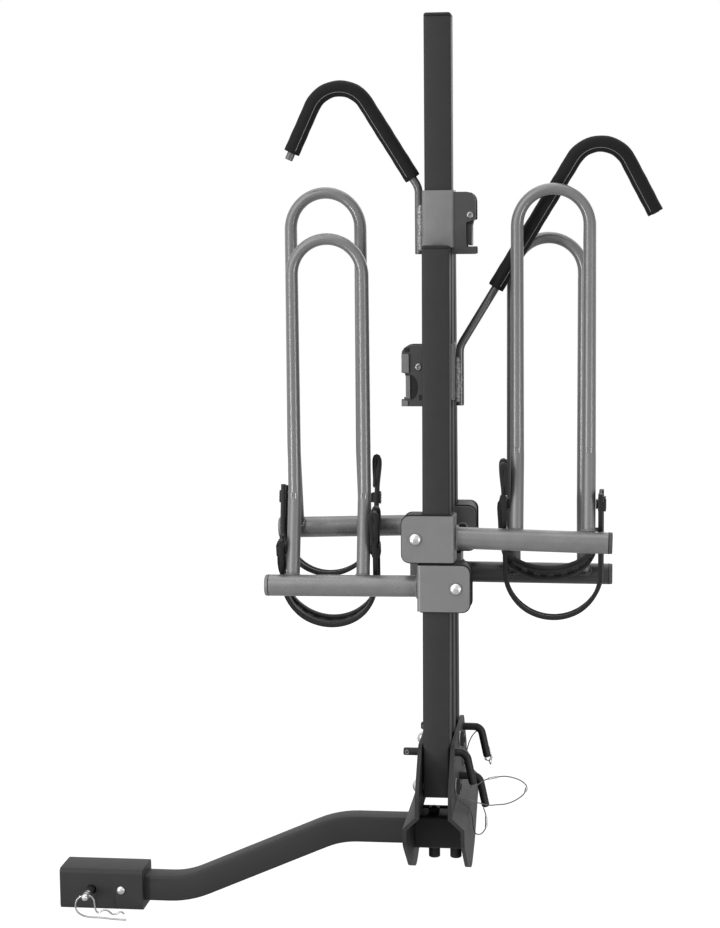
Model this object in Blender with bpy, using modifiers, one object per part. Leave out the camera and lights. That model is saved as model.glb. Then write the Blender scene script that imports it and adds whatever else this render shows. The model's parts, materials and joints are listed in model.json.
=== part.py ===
# Hitch bike rack for two bikes, folded up against its mast.
#
# The rack frame has its origin on the mast's centre line at the height of the hitch axis,
# +X away from the car and +Z up. The row frame's origin is under the hitch adapter.

import math

import bmesh
import bpy
from mathutils import Matrix, Vector

MM = 0.001
GAP = 0.3 * MM

# Overall sizes
MAST_TOP = 1052.5 * MM
MAST_BOTTOM = 132.5 * MM
HITCH_REACH = 420 * MM
ARM_LENGTH = 634 * MM
SHANK_RISE = 82 * MM

# Square tube of the mast and the arms
TUBE_SIDE = 31.75 * MM
TUBE_WALL = 2.5 * MM
TUBE_CORNER = 3.5 * MM
CAP_HEIGHT = 4.5 * MM

# Hitch adapter and shank
ADAPTER_SIDE = 50.8 * MM
ADAPTER_LENGTH = 104 * MM
ADAPTER_CORNER = 5 * MM
SHANK_SIDE = 31.75 * MM
SHANK_WALL = 3.2 * MM
SHANK_BEND_RADIUS = 110 * MM
SHANK_SLOPE_START = -314 * MM
SHANK_SLOPE_END = -125 * MM
SHANK_INSERT = 92 * MM
SHANK_END = 26 * MM
SLIDE_FIT = 0.35 * MM
PIN_OFFSET = -12 * MM
ADAPTER_BOLT_OFFSET = 25 * MM
ADAPTER_BOLT_RADIUS = 3.9 * MM
HITCH_PIN_RADIUS = 4.75 * MM
HITCH_HOLE_RADIUS = 5.9 * MM
HITCH_PIN_SIDE = -0.6 * MM
HITCH_PIN_REACH = 34 * MM
HITCH_NOSE = 17 * MM
CLIP_WIRE = 1.1 * MM

# Arm pivots, and the base plates round them
PIVOT_OFFSET = 2 * TUBE_SIDE
LOCK_DISTANCE = 41 * MM
PLATE_THICKNESS = 4.5 * MM
PLATE_UPPER_INSIDE = TUBE_SIDE / 2 + 0.925 * MM
PLATE_LOWER_INSIDE = 31.5 * MM
PLATE_TOP = 205.5 * MM
PLATE_TOP_HALF = PIVOT_OFFSET + 13.5 * MM
PLATE_HALF = PIVOT_OFFSET + LOCK_DISTANCE + 17.5 * MM
PLATE_SHOULDER = 158 * MM
PLATE_HIP = 98 * MM
PLATE_KNEE_HALF = 57 * MM
PLATE_KNEE = 53 * MM
PLATE_TIP = 37 * MM
PLATE_TIP_HALF = 9 * MM
JOGGLE_TOP = 129 * MM
JOGGLE_BOTTOM = 115 * MM

# Sleeve across the plates that holds the shank
SLEEVE_WALL = 3.8 * MM
SLEEVE_BOLT_SPACING = 26 * MM
SLEEVE_BOLT_X = 3.4 * MM
SLEEVE_BOLT_RADIUS = 4 * MM
TIE_THICKNESS = 5 * MM
TIE_RAISE = 1.5 * MM

# Mast fixings and lock pins
PIVOT_HEIGHT = 152.5 * MM
PIVOT_RADIUS = 5 * MM
ARM_LEAN = math.radians(2.18)
ARM_FOOT = 10 * MM
LOCK_PIN_RADIUS = 4.75 * MM
LOCK_PIN_TAIL = 40 * MM
LOCK_PIN_REACH = 34 * MM
LOCK_PIN_DROP = 38 * MM
LOCK_PIN_SPLAY = math.radians(12)
LOCK_PIN_BEND = 10 * MM
MAST_BOLT_HEIGHT = 193.5 * MM
MAST_LOCK_HEIGHT = 148.5 * MM
LANYARD_RADIUS = 0.75 * MM

# Hooks that slide on the mast
SLIDER_HEIGHT = 66 * MM
SLIDER_WALL = 2.5 * MM
CHEEK_THICKNESS = 2.5 * MM
CHEEK_INSIDE = 13 * MM
CHEEK_DROP = 8 * MM
RIVET_X = TUBE_SIDE / 2 + 21.525 * MM
CHEEK_REACH = RIVET_X + 6.6 * MM
RIVET_HEIGHT = 37 * MM
RIVET_RADIUS = 2.8 * MM
ROD_RADIUS = 4.75 * MM
GRIP_RADIUS = 9.6 * MM
HOOK_BEND_RADIUS = 36 * MM
HOOK_KNEE_RADIUS = 22 * MM

# Wheel holders that slide on the arms
BRACKET_HEIGHT = 54 * MM
BRACKET_THICKNESS = 3 * MM
LINER_WALL = 2.075 * MM
BRACKET_DEPTH = TUBE_SIDE / 2 + SLIDE_FIT + LINER_WALL + GAP + BRACKET_THICKNESS
BRACKET_WEB = BRACKET_DEPTH + 0.1 * MM
BRACKET_LIP = BRACKET_DEPTH + 17.9 * MM
BRACKET_CORNER = 9 * MM
LINER_PROUD = 1.6 * MM
FRONT_HOLDER_HEIGHT = 237.5 * MM
REAR_HOLDER_HEIGHT = 236.5 * MM
HOLDER_STEP = BRACKET_HEIGHT + 2 * LINER_PROUD + GAP
CLAMP_BOLT_X = TUBE_SIDE / 2 + 7.625 * MM
CLAMP_BOLT_RADIUS = 3.9 * MM
CROSSBAR_RADIUS = 12.7 * MM
CROSSBAR_WALL = 2 * MM
CROSSBAR_END = 203.5 * MM
HOOP_RADIUS = 8 * MM
HOOP_HALF = 41.7 * MM
HOOP_FOOT_Y = CROSSBAR_RADIUS - 4.7 * MM
HOOP_BEND_Z = 107 * MM
HOOP_BEND_Y = HOOP_FOOT_Y + 20 * MM
HOOP_TOP_Y = HOOP_BEND_Y - 13.5 * MM
HOOP_TOP_Z = 406 * MM

# Wheel straps
STRAP_WIDTH = 22 * MM
STRAP_THICKNESS = 2.5 * MM
STRAP_HALF = 56 * MM
STRAP_BOSS_RADIUS = 6 * MM
STRAP_TAIL = 52 * MM
STRAP_FOLD_RADIUS = 3.1 * MM

PAINT_BLACK = ((0.035, 0.036, 0.038), 0.42, 0.1)
PAINT_GREY = ((0.20, 0.20, 0.205), 0.38, 0.3)
BRACKET_PAINT = ((0.18, 0.18, 0.185), 0.45, 0.2)
ZINC = ((0.72, 0.72, 0.70), 0.28, 0.9)
BLACK_OXIDE = ((0.02, 0.02, 0.021), 0.38, 0.4)
BLACK_PLASTIC = ((0.014, 0.014, 0.015), 0.5, 0.0)
FOAM = ((0.012, 0.012, 0.013), 0.62, 0.0)
WIRE = ((0.30, 0.30, 0.31), 0.35, 0.8)

X_AXIS = Vector((1, 0, 0))
Y_AXIS = Vector((0, 1, 0))
Z_AXIS = Vector((0, 0, 1))


# Scene and materials

def clear_scene():
    for item in list(bpy.data.objects):
        bpy.data.objects.remove(item, do_unlink=True)


def new_collection(name, hidden=False):
    group = bpy.data.collections.new(name)
    bpy.context.scene.collection.children.link(group)
    group.hide_render = hidden
    return group


def paint(item, finish, name):
    colour, roughness, metallic = finish
    material = bpy.data.materials.new(name + "_finish")
    material.use_nodes = True
    shader = material.node_tree.nodes["Principled BSDF"]
    shader.inputs["Base Color"].default_value = (*colour, 1)
    shader.inputs["Roughness"].default_value = roughness
    shader.inputs["Metallic"].default_value = metallic
    item.data.materials.clear()
    item.data.materials.append(material)


def empty(name, parent, location=(0, 0, 0), rotation=(0, 0, 0)):
    item = bpy.data.objects.new(name, None)
    item.parent = parent
    item.location = location
    item.rotation_euler = rotation
    parts.objects.link(item)
    return item


def add(name, data, parent, location=(0, 0, 0), rotation=(0, 0, 0), group=None):
    item = bpy.data.objects.new(name, data)
    item.parent = parent
    item.location = location
    item.rotation_euler = rotation
    (group or parts).objects.link(item)
    return item


def turned_to(axis):
    return Z_AXIS.rotation_difference(Vector(axis)).to_euler()


# Shapes

def mesh_from(bm, name):
    bmesh.ops.recalc_face_normals(bm, faces=bm.faces)
    mesh = bpy.data.meshes.new(name)
    bm.to_mesh(mesh)
    bm.free()
    return mesh


def cylinder_mesh(name, radius, length, sides=24):
    bm = bmesh.new()
    bmesh.ops.create_cone(
        bm, cap_ends=True, segments=sides, radius1=radius, radius2=radius, depth=length)
    return mesh_from(bm, name)


def box_mesh(name, size):
    bm = bmesh.new()
    bmesh.ops.create_cube(bm, size=1)
    bmesh.ops.scale(bm, vec=size, verts=bm.verts)
    return mesh_from(bm, name)


def rounded_rectangle(half_x, half_y, radius, steps=3):
    points = []
    for quarter, (sx, sy) in enumerate(((1, 1), (-1, 1), (-1, -1), (1, -1))):
        centre = Vector((sx * (half_x - radius), sy * (half_y - radius)))
        for step in range(steps + 1):
            angle = (quarter + step / steps) * math.pi / 2
            points.append(centre + radius * Vector((math.cos(angle), math.sin(angle))))
    return points


def circle(radius, centre=(0, 0), sides=20):
    angles = [2 * math.pi * step / sides for step in range(sides)]
    return [Vector(centre) + radius * Vector((math.cos(a), math.sin(a))) for a in angles]


def outline_curve(name, loops, thickness):
    """A flat outline, with any holes, as thick as given along local Z."""
    curve = bpy.data.curves.new(name, "CURVE")
    curve.dimensions = "2D"
    curve.fill_mode = "BOTH"
    curve.extrude = thickness / 2
    for loop in loops:
        spline = curve.splines.new("POLY")
        spline.points.add(len(loop) - 1)
        spline.use_cyclic_u = True
        for point, place in zip(spline.points, loop):
            point.co = (place[0], place[1], 0, 1)
    return curve


def tube_curve(name, points, radius, resolution=4, caps=True):
    curve = bpy.data.curves.new(name, "CURVE")
    curve.dimensions = "3D"
    curve.bevel_depth = radius
    curve.bevel_resolution = resolution
    curve.use_fill_caps = caps
    spline = curve.splines.new("POLY")
    spline.points.add(len(points) - 1)
    for point, place in zip(spline.points, points):
        point.co = (*place, 1)
    return curve


def as_mesh(item, shade_angle=None):
    """Replace a curve object with the mesh that it draws."""
    bpy.context.view_layer.update()
    drawn = item.evaluated_get(bpy.context.evaluated_depsgraph_get())
    mesh = bpy.data.meshes.new_from_object(drawn)
    bm = bmesh.new()
    bm.from_mesh(mesh)
    bmesh.ops.remove_doubles(bm, verts=bm.verts, dist=0.00001)
    bmesh.ops.recalc_face_normals(bm, faces=bm.faces)
    bm.to_mesh(mesh)
    bm.free()
    solid = bpy.data.objects.new(item.name + "_solid", mesh)
    solid.parent = item.parent
    solid.matrix_world = item.matrix_world.copy()
    parts.objects.link(solid)
    name = item.name
    bpy.data.objects.remove(item, do_unlink=True)
    solid.name = name
    if shade_angle:
        smooth(solid, shade_angle)
    return solid


def smooth(item, angle=35):
    item.data.shade_smooth()
    item.data.set_sharp_from_angle(angle=math.radians(angle))


def boolean(target, tool, operation="DIFFERENCE"):
    tool.hide_render = True
    tool.display_type = "WIRE"
    cut = target.modifiers.new(tool.name, "BOOLEAN")
    cut.operation = operation
    cut.object = tool
    return target


def drill(target, radius, length, location, axis, sides=24):
    tool = add(
        target.name + "_drill", cylinder_mesh("drill", radius, length, sides), target.parent,
        location, turned_to(axis), cutters)
    return boolean(target, tool)


def join_box(target, size, location, rotation=(0, 0, 0), operation="UNION"):
    tool = add(target.name + "_block", box_mesh("block", size), target.parent,
               location, rotation, cutters)
    return boolean(target, tool, operation)


def fillet_path(corners, radii, step_angle=math.radians(12)):
    """Points along straight runs whose corners are rounded, one radius a corner."""
    corners = [Vector(corner) for corner in corners]
    path = [corners[0]]
    for index, radius in enumerate(radii, start=1):
        here = corners[index]
        back = (corners[index - 1] - here).normalized()
        ahead = (corners[index + 1] - here).normalized()
        half = back.angle(ahead) / 2
        middle = (back + ahead).normalized()
        centre = here + middle * (radius / math.sin(half))
        start = here + back * (radius / math.tan(half))
        turn = math.pi - 2 * half
        axis = back.cross(ahead).normalized()
        steps = max(2, round(turn / step_angle))
        for step in range(steps + 1):
            spin = Matrix.Rotation(-turn * step / steps, 3, axis)
            path.append(centre + spin @ (start - centre))
    path.append(corners[-1])
    return path


def spread(points, spacing):
    """Points at even steps along a smooth curve through the given ones."""
    points = [Vector(point) for point in points]
    fine = []
    padded = [2 * points[0] - points[1], *points, 2 * points[-1] - points[-2]]
    for a, b, c, d in zip(padded, padded[1:], padded[2:], padded[3:]):
        for step in range(12):
            t = step / 12
            fine.append(0.5 * (2 * b + (c - a) * t + (2 * a - 5 * b + 4 * c - d) * t ** 2
                               + (3 * b - a - 3 * c + d) * t ** 3))
    fine.append(points[-1])
    return resample(fine, spacing)


def lengths_along(points):
    total = [0]
    for start, end in zip(points, points[1:]):
        total.append(total[-1] + (end - start).length)
    return total


def point_at(points, lengths, distance):
    for index in range(1, len(points)):
        if distance <= lengths[index] or index == len(points) - 1:
            run = lengths[index] - lengths[index - 1]
            share = (distance - lengths[index - 1]) / run
            return points[index - 1].lerp(points[index], share)


def resample(points, spacing):
    lengths = lengths_along(points)
    count = max(2, round(lengths[-1] / spacing))
    return [point_at(points, lengths, lengths[-1] * i / count) for i in range(count + 1)]


def part_of(points, start, end):
    """The stretch of a path between two distances along it."""
    lengths = lengths_along(points)
    inside = [p for p, l in zip(points, lengths) if start + GAP < l < end - GAP]
    return [point_at(points, lengths, start), *inside, point_at(points, lengths, end)]


def strip_mesh(name, outline, height, corner=0.0):
    """A ribbon that follows an open outline in XY and stands along Z."""
    bm = bmesh.new()
    rows = []
    for level in (-height / 2, height / 2):
        rows.append([bm.verts.new((p[0], p[1], level)) for p in outline])
    for a, b, c, d in zip(rows[0], rows[0][1:], rows[1][1:], rows[1]):
        bm.faces.new((a, b, c, d))
    if corner:
        ends = [rows[0][0], rows[0][-1], rows[1][0], rows[1][-1]]
        bmesh.ops.bevel(bm, geom=ends, offset=corner, segments=4, affect="VERTICES", profile=0.5)
    mesh = bpy.data.meshes.new(name)
    bm.to_mesh(mesh)
    bm.free()
    return mesh


def thicken(item, thickness, offset):
    shell = item.modifiers.new("thickness", "SOLIDIFY")
    shell.thickness = thickness
    shell.offset = offset
    shell.use_even_offset = True
    return item


def turned_mesh(name, profile):
    """A profile of radius and height, from the top down its outer side."""
    bm = bmesh.new()
    verts = [bm.verts.new((radius, 0, height)) for radius, height in profile]
    for start, end in zip(verts, verts[1:]):
        bm.edges.new((start, end))
    mesh = bpy.data.meshes.new(name)
    bm.to_mesh(mesh)
    bm.free()
    return mesh


def turned(name, profile, parent, location, rotation, steps=16):
    item = add(name, turned_mesh(name, profile), parent, location, rotation)
    screw = item.modifiers.new("turn", "SCREW")
    screw.axis = "Z"
    screw.steps = steps
    screw.render_steps = steps
    screw.use_merge_vertices = True
    screw.merge_threshold = 0.00001
    screw.use_smooth_shade = True
    return item


def dome_profile(radius, height, steps=4):
    angles = [math.pi / 2 * step / steps for step in range(steps + 1)]
    return [(radius * math.sin(a), height * math.cos(a)) for a in angles]


def bolt(name, parent, location, axis, grip, shank, head, head_height, nut, nut_height,
         finish=ZINC, domed=True):
    """Bolt with its nut, whose head seats at the location and points along the axis."""
    tail = grip + nut_height + 1.5 * MM
    if domed:
        profile = dome_profile(head, head_height)
    else:
        edge = 1.2 * MM
        profile = [(0, head_height), (head - edge, head_height), (head, head_height - edge),
                   (head, 0)]
    profile += [(shank, 0), (shank, -tail), (0, -tail)]
    item = turned(name, profile, parent, location, turned_to(axis))
    inward = -Vector(axis)
    hexagon = cylinder_mesh("nut", nut, nut_height, 6)
    tool = add(name + "_nut", hexagon, parent,
               Vector(location) + inward * (grip + nut_height / 2), turned_to(axis), cutters)
    boolean(item, tool, "UNION")
    paint(item, finish, name)
    return item


def square_tube(name, side, wall, length, parent, location, rotation=(0, 0, 0),
                corner=TUBE_CORNER, finish=PAINT_BLACK):
    """Hollow square tube that stands along local Z, centred on its location."""
    loops = [
        rounded_rectangle(side / 2, side / 2, corner),
        rounded_rectangle(side / 2 - wall, side / 2 - wall, max(corner - wall, 0.8 * MM), 2),
    ]
    item = add(name, outline_curve(name, loops, length), parent, location, rotation)
    item = as_mesh(item, 35)
    paint(item, finish, name)
    return item


def tube_cap(name, side, parent, location):
    """Plastic plug that closes a square tube with a low rounded lid."""
    half = side / 2
    bm = bmesh.new()
    rings = [
        (half - TUBE_WALL - GAP, -14 * MM),
        (half - TUBE_WALL - GAP, GAP),
        (half, GAP),
        (half, CAP_HEIGHT - 2.2 * MM),
        (half - 0.8 * MM, CAP_HEIGHT - 0.8 * MM),
        (half - 2.6 * MM, CAP_HEIGHT),
    ]
    loops = []
    for reach, height in rings:
        corner = max(TUBE_CORNER - (half - reach), 0.8 * MM)
        outline = rounded_rectangle(reach, reach, corner)
        loops.append([bm.verts.new((x, y, height)) for x, y in outline])
    for lower, upper in zip(loops, loops[1:]):
        for index in range(len(lower)):
            after = (index + 1) % len(lower)
            bm.faces.new((lower[index], lower[after], upper[after], upper[index]))
    bm.faces.new(loops[0])
    bm.faces.new(loops[-1])
    item = add(name, mesh_from(bm, name), parent, location)
    smooth(item, 40)
    paint(item, BLACK_PLASTIC, name)
    return item


# Hitch end

def make_adapter():
    corner = ADAPTER_CORNER
    bore = SHANK_SIDE / 2 + SLIDE_FIT
    loops = [
        rounded_rectangle(ADAPTER_SIDE / 2, ADAPTER_SIDE / 2, corner, 4),
        rounded_rectangle(bore, bore, 2.5 * MM, 2),
    ]
    curve = outline_curve("adapter_sleeve", loops, ADAPTER_LENGTH)
    item = add("adapter_sleeve", curve, rack, (-HITCH_REACH, 0, 0), turned_to(X_AXIS))
    item = as_mesh(item, 35)
    paint(item, PAINT_BLACK, item.name)
    reach = ADAPTER_SIDE + 20 * MM
    drill(item, HITCH_HOLE_RADIUS, reach, (-HITCH_REACH + PIN_OFFSET, 0, 0), Y_AXIS)
    drill(item, ADAPTER_BOLT_RADIUS + GAP, reach, (-HITCH_REACH + ADAPTER_BOLT_OFFSET, 0, 0),
          Y_AXIS)
    bolt("adapter_bolt", rack,
         (-HITCH_REACH + ADAPTER_BOLT_OFFSET, -ADAPTER_SIDE / 2 - GAP, 0), -Y_AXIS,
         ADAPTER_SIDE + 2 * GAP, ADAPTER_BOLT_RADIUS, 5.2 * MM, 3 * MM, 7.5 * MM, 6.5 * MM)


def shank_path():
    low = -HITCH_REACH + ADAPTER_LENGTH / 2 - SHANK_INSERT
    corners = [
        (low, 0, 0),
        (SHANK_SLOPE_START, 0, 0),
        (SHANK_SLOPE_END, 0, SHANK_RISE),
        (SHANK_END, 0, SHANK_RISE),
    ]
    return fillet_path(corners, [SHANK_BEND_RADIUS] * 2, math.radians(4))


def make_shank():
    """Square tube bent twice, from the adapter up to the sleeve between the plates."""
    section = outline_curve(
        "shank_section", [rounded_rectangle(SHANK_SIDE / 2, SHANK_SIDE / 2, TUBE_CORNER)], 0)
    section.fill_mode = "NONE"
    guide = add("shank_section", section, None, group=cutters)
    guide.hide_render = True
    guide.display_type = "WIRE"
    curve = tube_curve("shank_tube", shank_path(), 0, caps=False)
    curve.bevel_mode = "OBJECT"
    curve.bevel_object = guide
    curve.twist_mode = "Z_UP"
    item = as_mesh(add("shank_tube", curve, rack), 35)
    thicken(item, SHANK_WALL, -1)
    paint(item, PAINT_BLACK, item.name)
    reach = ADAPTER_SIDE + 20 * MM
    drill(item, HITCH_HOLE_RADIUS, reach, (-HITCH_REACH + PIN_OFFSET, 0, 0), Y_AXIS)
    drill(item, ADAPTER_BOLT_RADIUS + GAP, reach, (-HITCH_REACH + ADAPTER_BOLT_OFFSET, 0, 0),
          Y_AXIS)
    for side in (-1, 1):
        drill(item, SLEEVE_BOLT_RADIUS + GAP, reach,
              (SLEEVE_BOLT_X + side * SLEEVE_BOLT_SPACING / 2, 0, SHANK_RISE), Z_AXIS)


def make_hitch_pin():
    """Bent pin through adapter and shank, with a cross hole for its clip."""
    x = -HITCH_REACH + PIN_OFFSET + HITCH_PIN_SIDE
    shoulder = -ADAPTER_SIDE / 2 - HITCH_PIN_REACH + HITCH_NOSE
    back = ADAPTER_SIDE / 2 + 16 * MM
    corners = [(0, shoulder, 0), (0, back, 0), (0, back + 10 * MM, -34 * MM)]
    curve = tube_curve(
        "hitch_pin", fillet_path(corners, [12 * MM]), HITCH_PIN_RADIUS)
    item = add("hitch_pin", curve, rack, (x, 0, 0))
    item = as_mesh(item, 35)
    tip = HITCH_NOSE
    profile = [(0, tip), (2.8 * MM, tip - 0.6 * MM), (4.2 * MM, tip - 2.6 * MM),
               (4.2 * MM, -2 * MM), (0, -2 * MM)]
    nose = add("hitch_pin_nose", turned_mesh("nose", profile), rack,
               (x, shoulder, 0), turned_to(-Y_AXIS), cutters)
    screw = nose.modifiers.new("turn", "SCREW")
    screw.steps = 16
    screw.render_steps = 16
    screw.use_merge_vertices = True
    screw.merge_threshold = 0.00001
    boolean(item, nose, "UNION")
    drill(item, CLIP_WIRE + GAP, 20 * MM, (x, CLIP_Y, 0), X_AXIS, 12)
    paint(item, BLACK_OXIDE, item.name)


CLIP_Y = -ADAPTER_SIDE / 2 - HITCH_PIN_REACH + 9 * MM
CLIP_ROUTE = [
    (47, -21), (42, -18.5), (37, -21.5), (31.5, -21.5), (26, -17.5), (20, -17.5),
    (14, -20.5), (10.8, -16), (10, -10), (8.8, -4), (5.4, -0.3), (0, 0), (-5.4, -0.3),
    (-10, -3), (-13.4, -8.5), (-13.8, -15), (-11, -21), (-4, -25.2), (6, -26.6), (18, -26.8),
    (32, -28), (49, -28.6),
]


def make_clip():
    """Spring wire clip, threaded through the pin and hanging from it."""
    route = [(x * MM, 0, z * MM) for x, z in CLIP_ROUTE]
    curve = tube_curve("hitch_pin_clip", spread(route, 3.2 * MM), CLIP_WIRE, 2)
    item = add("hitch_pin_clip", curve, rack, (-HITCH_REACH + PIN_OFFSET, CLIP_Y, 0))
    paint(item, ZINC, item.name)


# Base

def plate_outline():
    right = [
        (PLATE_TOP_HALF, PLATE_TOP),
        (PLATE_HALF, PLATE_SHOULDER),
        (PLATE_HALF, PLATE_HIP),
        (PLATE_KNEE_HALF, PLATE_KNEE),
        (PLATE_TIP_HALF, PLATE_TIP),
    ]
    return right + [(-y, z) for y, z in reversed(right)]


def make_plate(name, side):
    """Side plate, pressed outwards below the arm pivots."""
    bm = bmesh.new()
    ring = [bm.verts.new((side * PLATE_UPPER_INSIDE, y, z)) for y, z in plate_outline()]
    bm.faces.new(ring)
    bmesh.ops.bevel(bm, geom=list(bm.verts), offset=7 * MM, segments=3, affect="VERTICES",
                    profile=0.5)
    for level in (JOGGLE_TOP, JOGGLE_BOTTOM):
        bmesh.ops.bisect_plane(
            bm, geom=bm.verts[:] + bm.edges[:] + bm.faces[:], plane_co=(0, 0, level),
            plane_no=Z_AXIS)
    for vert in bm.verts:
        if vert.co.z < JOGGLE_BOTTOM + GAP:
            vert.co.x = side * PLATE_LOWER_INSIDE
    for face in bm.faces:
        if face.normal.x * side < 0:
            face.normal_flip()
    mesh = bpy.data.meshes.new(name)
    bm.to_mesh(mesh)
    bm.free()
    item = add(name, mesh, rack)
    thicken(item, PLATE_THICKNESS, 1)
    paint(item, PAINT_BLACK, name)
    middle = side * (PLATE_UPPER_INSIDE + PLATE_THICKNESS / 2)
    reach = 16 * MM
    holes = [(0, MAST_BOLT_HEIGHT, PIVOT_RADIUS), (0, MAST_LOCK_HEIGHT, LOCK_PIN_RADIUS)]
    for end in (-1, 1):
        y, z = lock_place(end)
        holes.append((end * PIVOT_OFFSET, PIVOT_HEIGHT, PIVOT_RADIUS))
        holes.append((y, z, LOCK_PIN_RADIUS))
        holes.append((end * (PIVOT_OFFSET + LOCK_DISTANCE), PIVOT_HEIGHT, LOCK_PIN_RADIUS))
    for y, z, radius in holes:
        drill(item, radius + GAP, reach, (middle, y, z), X_AXIS, 20)
    if side < 0:
        window = SHANK_SIDE + 2 * SLIDE_FIT
        outside = side * (PLATE_LOWER_INSIDE + PLATE_THICKNESS / 2)
        join_box(item, (20 * MM, window, window), (outside, 0, SHANK_RISE),
                 operation="DIFFERENCE")
    return item


def lock_place(end):
    """Y and Z of an arm's lock pin in the rack frame; end is -1 in front, 1 behind."""
    y = end * (PIVOT_OFFSET - LOCK_DISTANCE * math.sin(ARM_LEAN))
    return y, PIVOT_HEIGHT + LOCK_DISTANCE * math.cos(ARM_LEAN)


def make_base():
    make_plate("base_plate_left", -1)
    make_plate("base_plate_right", 1)
    side = SHANK_SIDE + 2 * SLIDE_FIT + 2 * SLEEVE_WALL
    length = 2 * (PLATE_LOWER_INSIDE - GAP)
    sleeve = square_tube("cross_sleeve", side, SLEEVE_WALL, length, rack,
                         (0, 0, SHANK_RISE), turned_to(X_AXIS), 4.5 * MM)
    for index, name in enumerate(("sleeve_bolt_left", "sleeve_bolt_right")):
        x = SLEEVE_BOLT_X + (index - 0.5) * SLEEVE_BOLT_SPACING
        drill(sleeve, SLEEVE_BOLT_RADIUS + GAP, side + 20 * MM, (x, 0, SHANK_RISE), Z_AXIS)
        bolt(name, rack, (x, 0, SHANK_RISE - side / 2 - GAP), -Z_AXIS, side + 2 * GAP,
             SLEEVE_BOLT_RADIUS, 7 * MM, 15 * MM, 7.4 * MM, 6.5 * MM, BLACK_OXIDE, False)
    width = 2 * (PLATE_LOWER_INSIDE - GAP)
    middle = (0, side / 2 + TIE_THICKNESS / 2 + GAP, SHANK_RISE + TIE_RAISE)
    tie = add("cross_tie", box_mesh("cross_tie", (width, TIE_THICKNESS, side)), rack, middle)
    paint(tie, PAINT_BLACK, tie.name)


def make_pivot_bolts():
    outside = PLATE_UPPER_INSIDE + PLATE_THICKNESS + GAP
    places = {
        "arm_pivot_bolt_front": (-PIVOT_OFFSET, PIVOT_HEIGHT),
        "arm_pivot_bolt_rear": (PIVOT_OFFSET, PIVOT_HEIGHT),
        "mast_bolt": (0, MAST_BOLT_HEIGHT),
    }
    for name, (y, z) in places.items():
        bolt(name, rack, (-outside, y, z), -X_AXIS, 2 * outside, PIVOT_RADIUS, 8 * MM, 8 * MM,
             9.2 * MM, 6 * MM)


def lock_pin_path():
    """From the pin's tip, along X to the bend and down the handle."""
    lean = LOCK_PIN_DROP * math.tan(LOCK_PIN_SPLAY)
    corners = [
        (-LOCK_PIN_TAIL, 0, 0),
        (LOCK_PIN_REACH, 0, 0),
        (LOCK_PIN_REACH + lean, 0, -LOCK_PIN_DROP),
    ]
    return fillet_path(corners, [LOCK_PIN_BEND])


def make_lock_pins():
    places = {
        "lock_pin_front": (0, *lock_place(-1)),
        "lock_pin_rear": (9 * MM, *lock_place(1)),
        "lock_pin_mast": (11 * MM, 0, MAST_LOCK_HEIGHT),
    }
    for name, place in places.items():
        item = add(name, tube_curve(name, lock_pin_path(), LOCK_PIN_RADIUS), rack, place)
        paint(item, BLACK_OXIDE, name)


# Wire lanyards that keep the lock pins with the rack. Routes are in millimetres in the
# rack frame, from the pin's handle to the side plate.
LANYARDS = {
    "lanyard_front": [
        (38.9, -61.9, 154.1), (40, -61.6, 152), (46, -52, 151.6), (53.4, -42, 154.6),
        (63.9, -36, 156.6),
        (78.9, -35, 158.3), (92.6, -35, 155.4), (100.8, -35, 150.6), (103.6, -35, 145.1),
        (99.5, -35, 136.5), (89.9, -35, 129.2), (78.9, -35, 124.7), (67.9, -36, 123.6),
        (59, -40, 124), (48.8, -48, 128.5), (39.3, -55, 133), (30, -59, 137),
        (24.2, -62, 139.6), (22.4, -63, 140),
    ],
    "lanyard_mast": [
        (49.9, 0, 109.1), (51.6, -0.6, 105), (53.4, -2, 98), (53.8, -4, 91), (52.8, -7, 85.2),
        (48.3, -11, 80), (43, -16, 80.6), (40.4, -23, 87), (39.6, -31, 97), (39.2, -40, 110),
        (36.6, -50, 122), (30, -59, 132), (24.4, -66, 138), (22.4, -68.4, 139.4),
    ],
    "lanyard_rear": [
        (47.9, 61.9, 154.1), (48.9, 63, 151.4), (52.6, 68, 149.4), (54.4, 73.6, 153.6),
        (51, 76, 166), (46, 77, 178), (41, 77, 184), (36, 77, 183),
        (31, 77, 177), (27, 76.6, 168), (24.6, 76, 158), (23.2, 75.6, 150.4),
        (22.4, 75, 145.6),
    ],
}


def make_lanyards():
    for name, route in LANYARDS.items():
        points = spread([Vector(place) * MM for place in route], 4.2 * MM)
        item = add(name, tube_curve(name, points, LANYARD_RADIUS, 2), rack)
        paint(item, WIRE, name)


# Mast

def make_mast():
    length = MAST_TOP - CAP_HEIGHT - MAST_BOTTOM
    middle = MAST_BOTTOM + length / 2
    item = square_tube("mast_tube", TUBE_SIDE, TUBE_WALL, length, rack, (0, 0, middle))
    reach = TUBE_SIDE + 20 * MM
    drill(item, PIVOT_RADIUS + GAP, reach, (0, 0, MAST_BOLT_HEIGHT), X_AXIS)
    drill(item, LOCK_PIN_RADIUS + GAP, reach, (0, 0, MAST_LOCK_HEIGHT), X_AXIS)
    tube_cap("mast_cap", TUBE_SIDE, rack, (0, 0, MAST_TOP - CAP_HEIGHT))


# Hooks. Each has its own frame, with its rod on the -X side of the mast and its release
# lever on the +X side; the lower hook's frame is turned half round.

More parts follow.
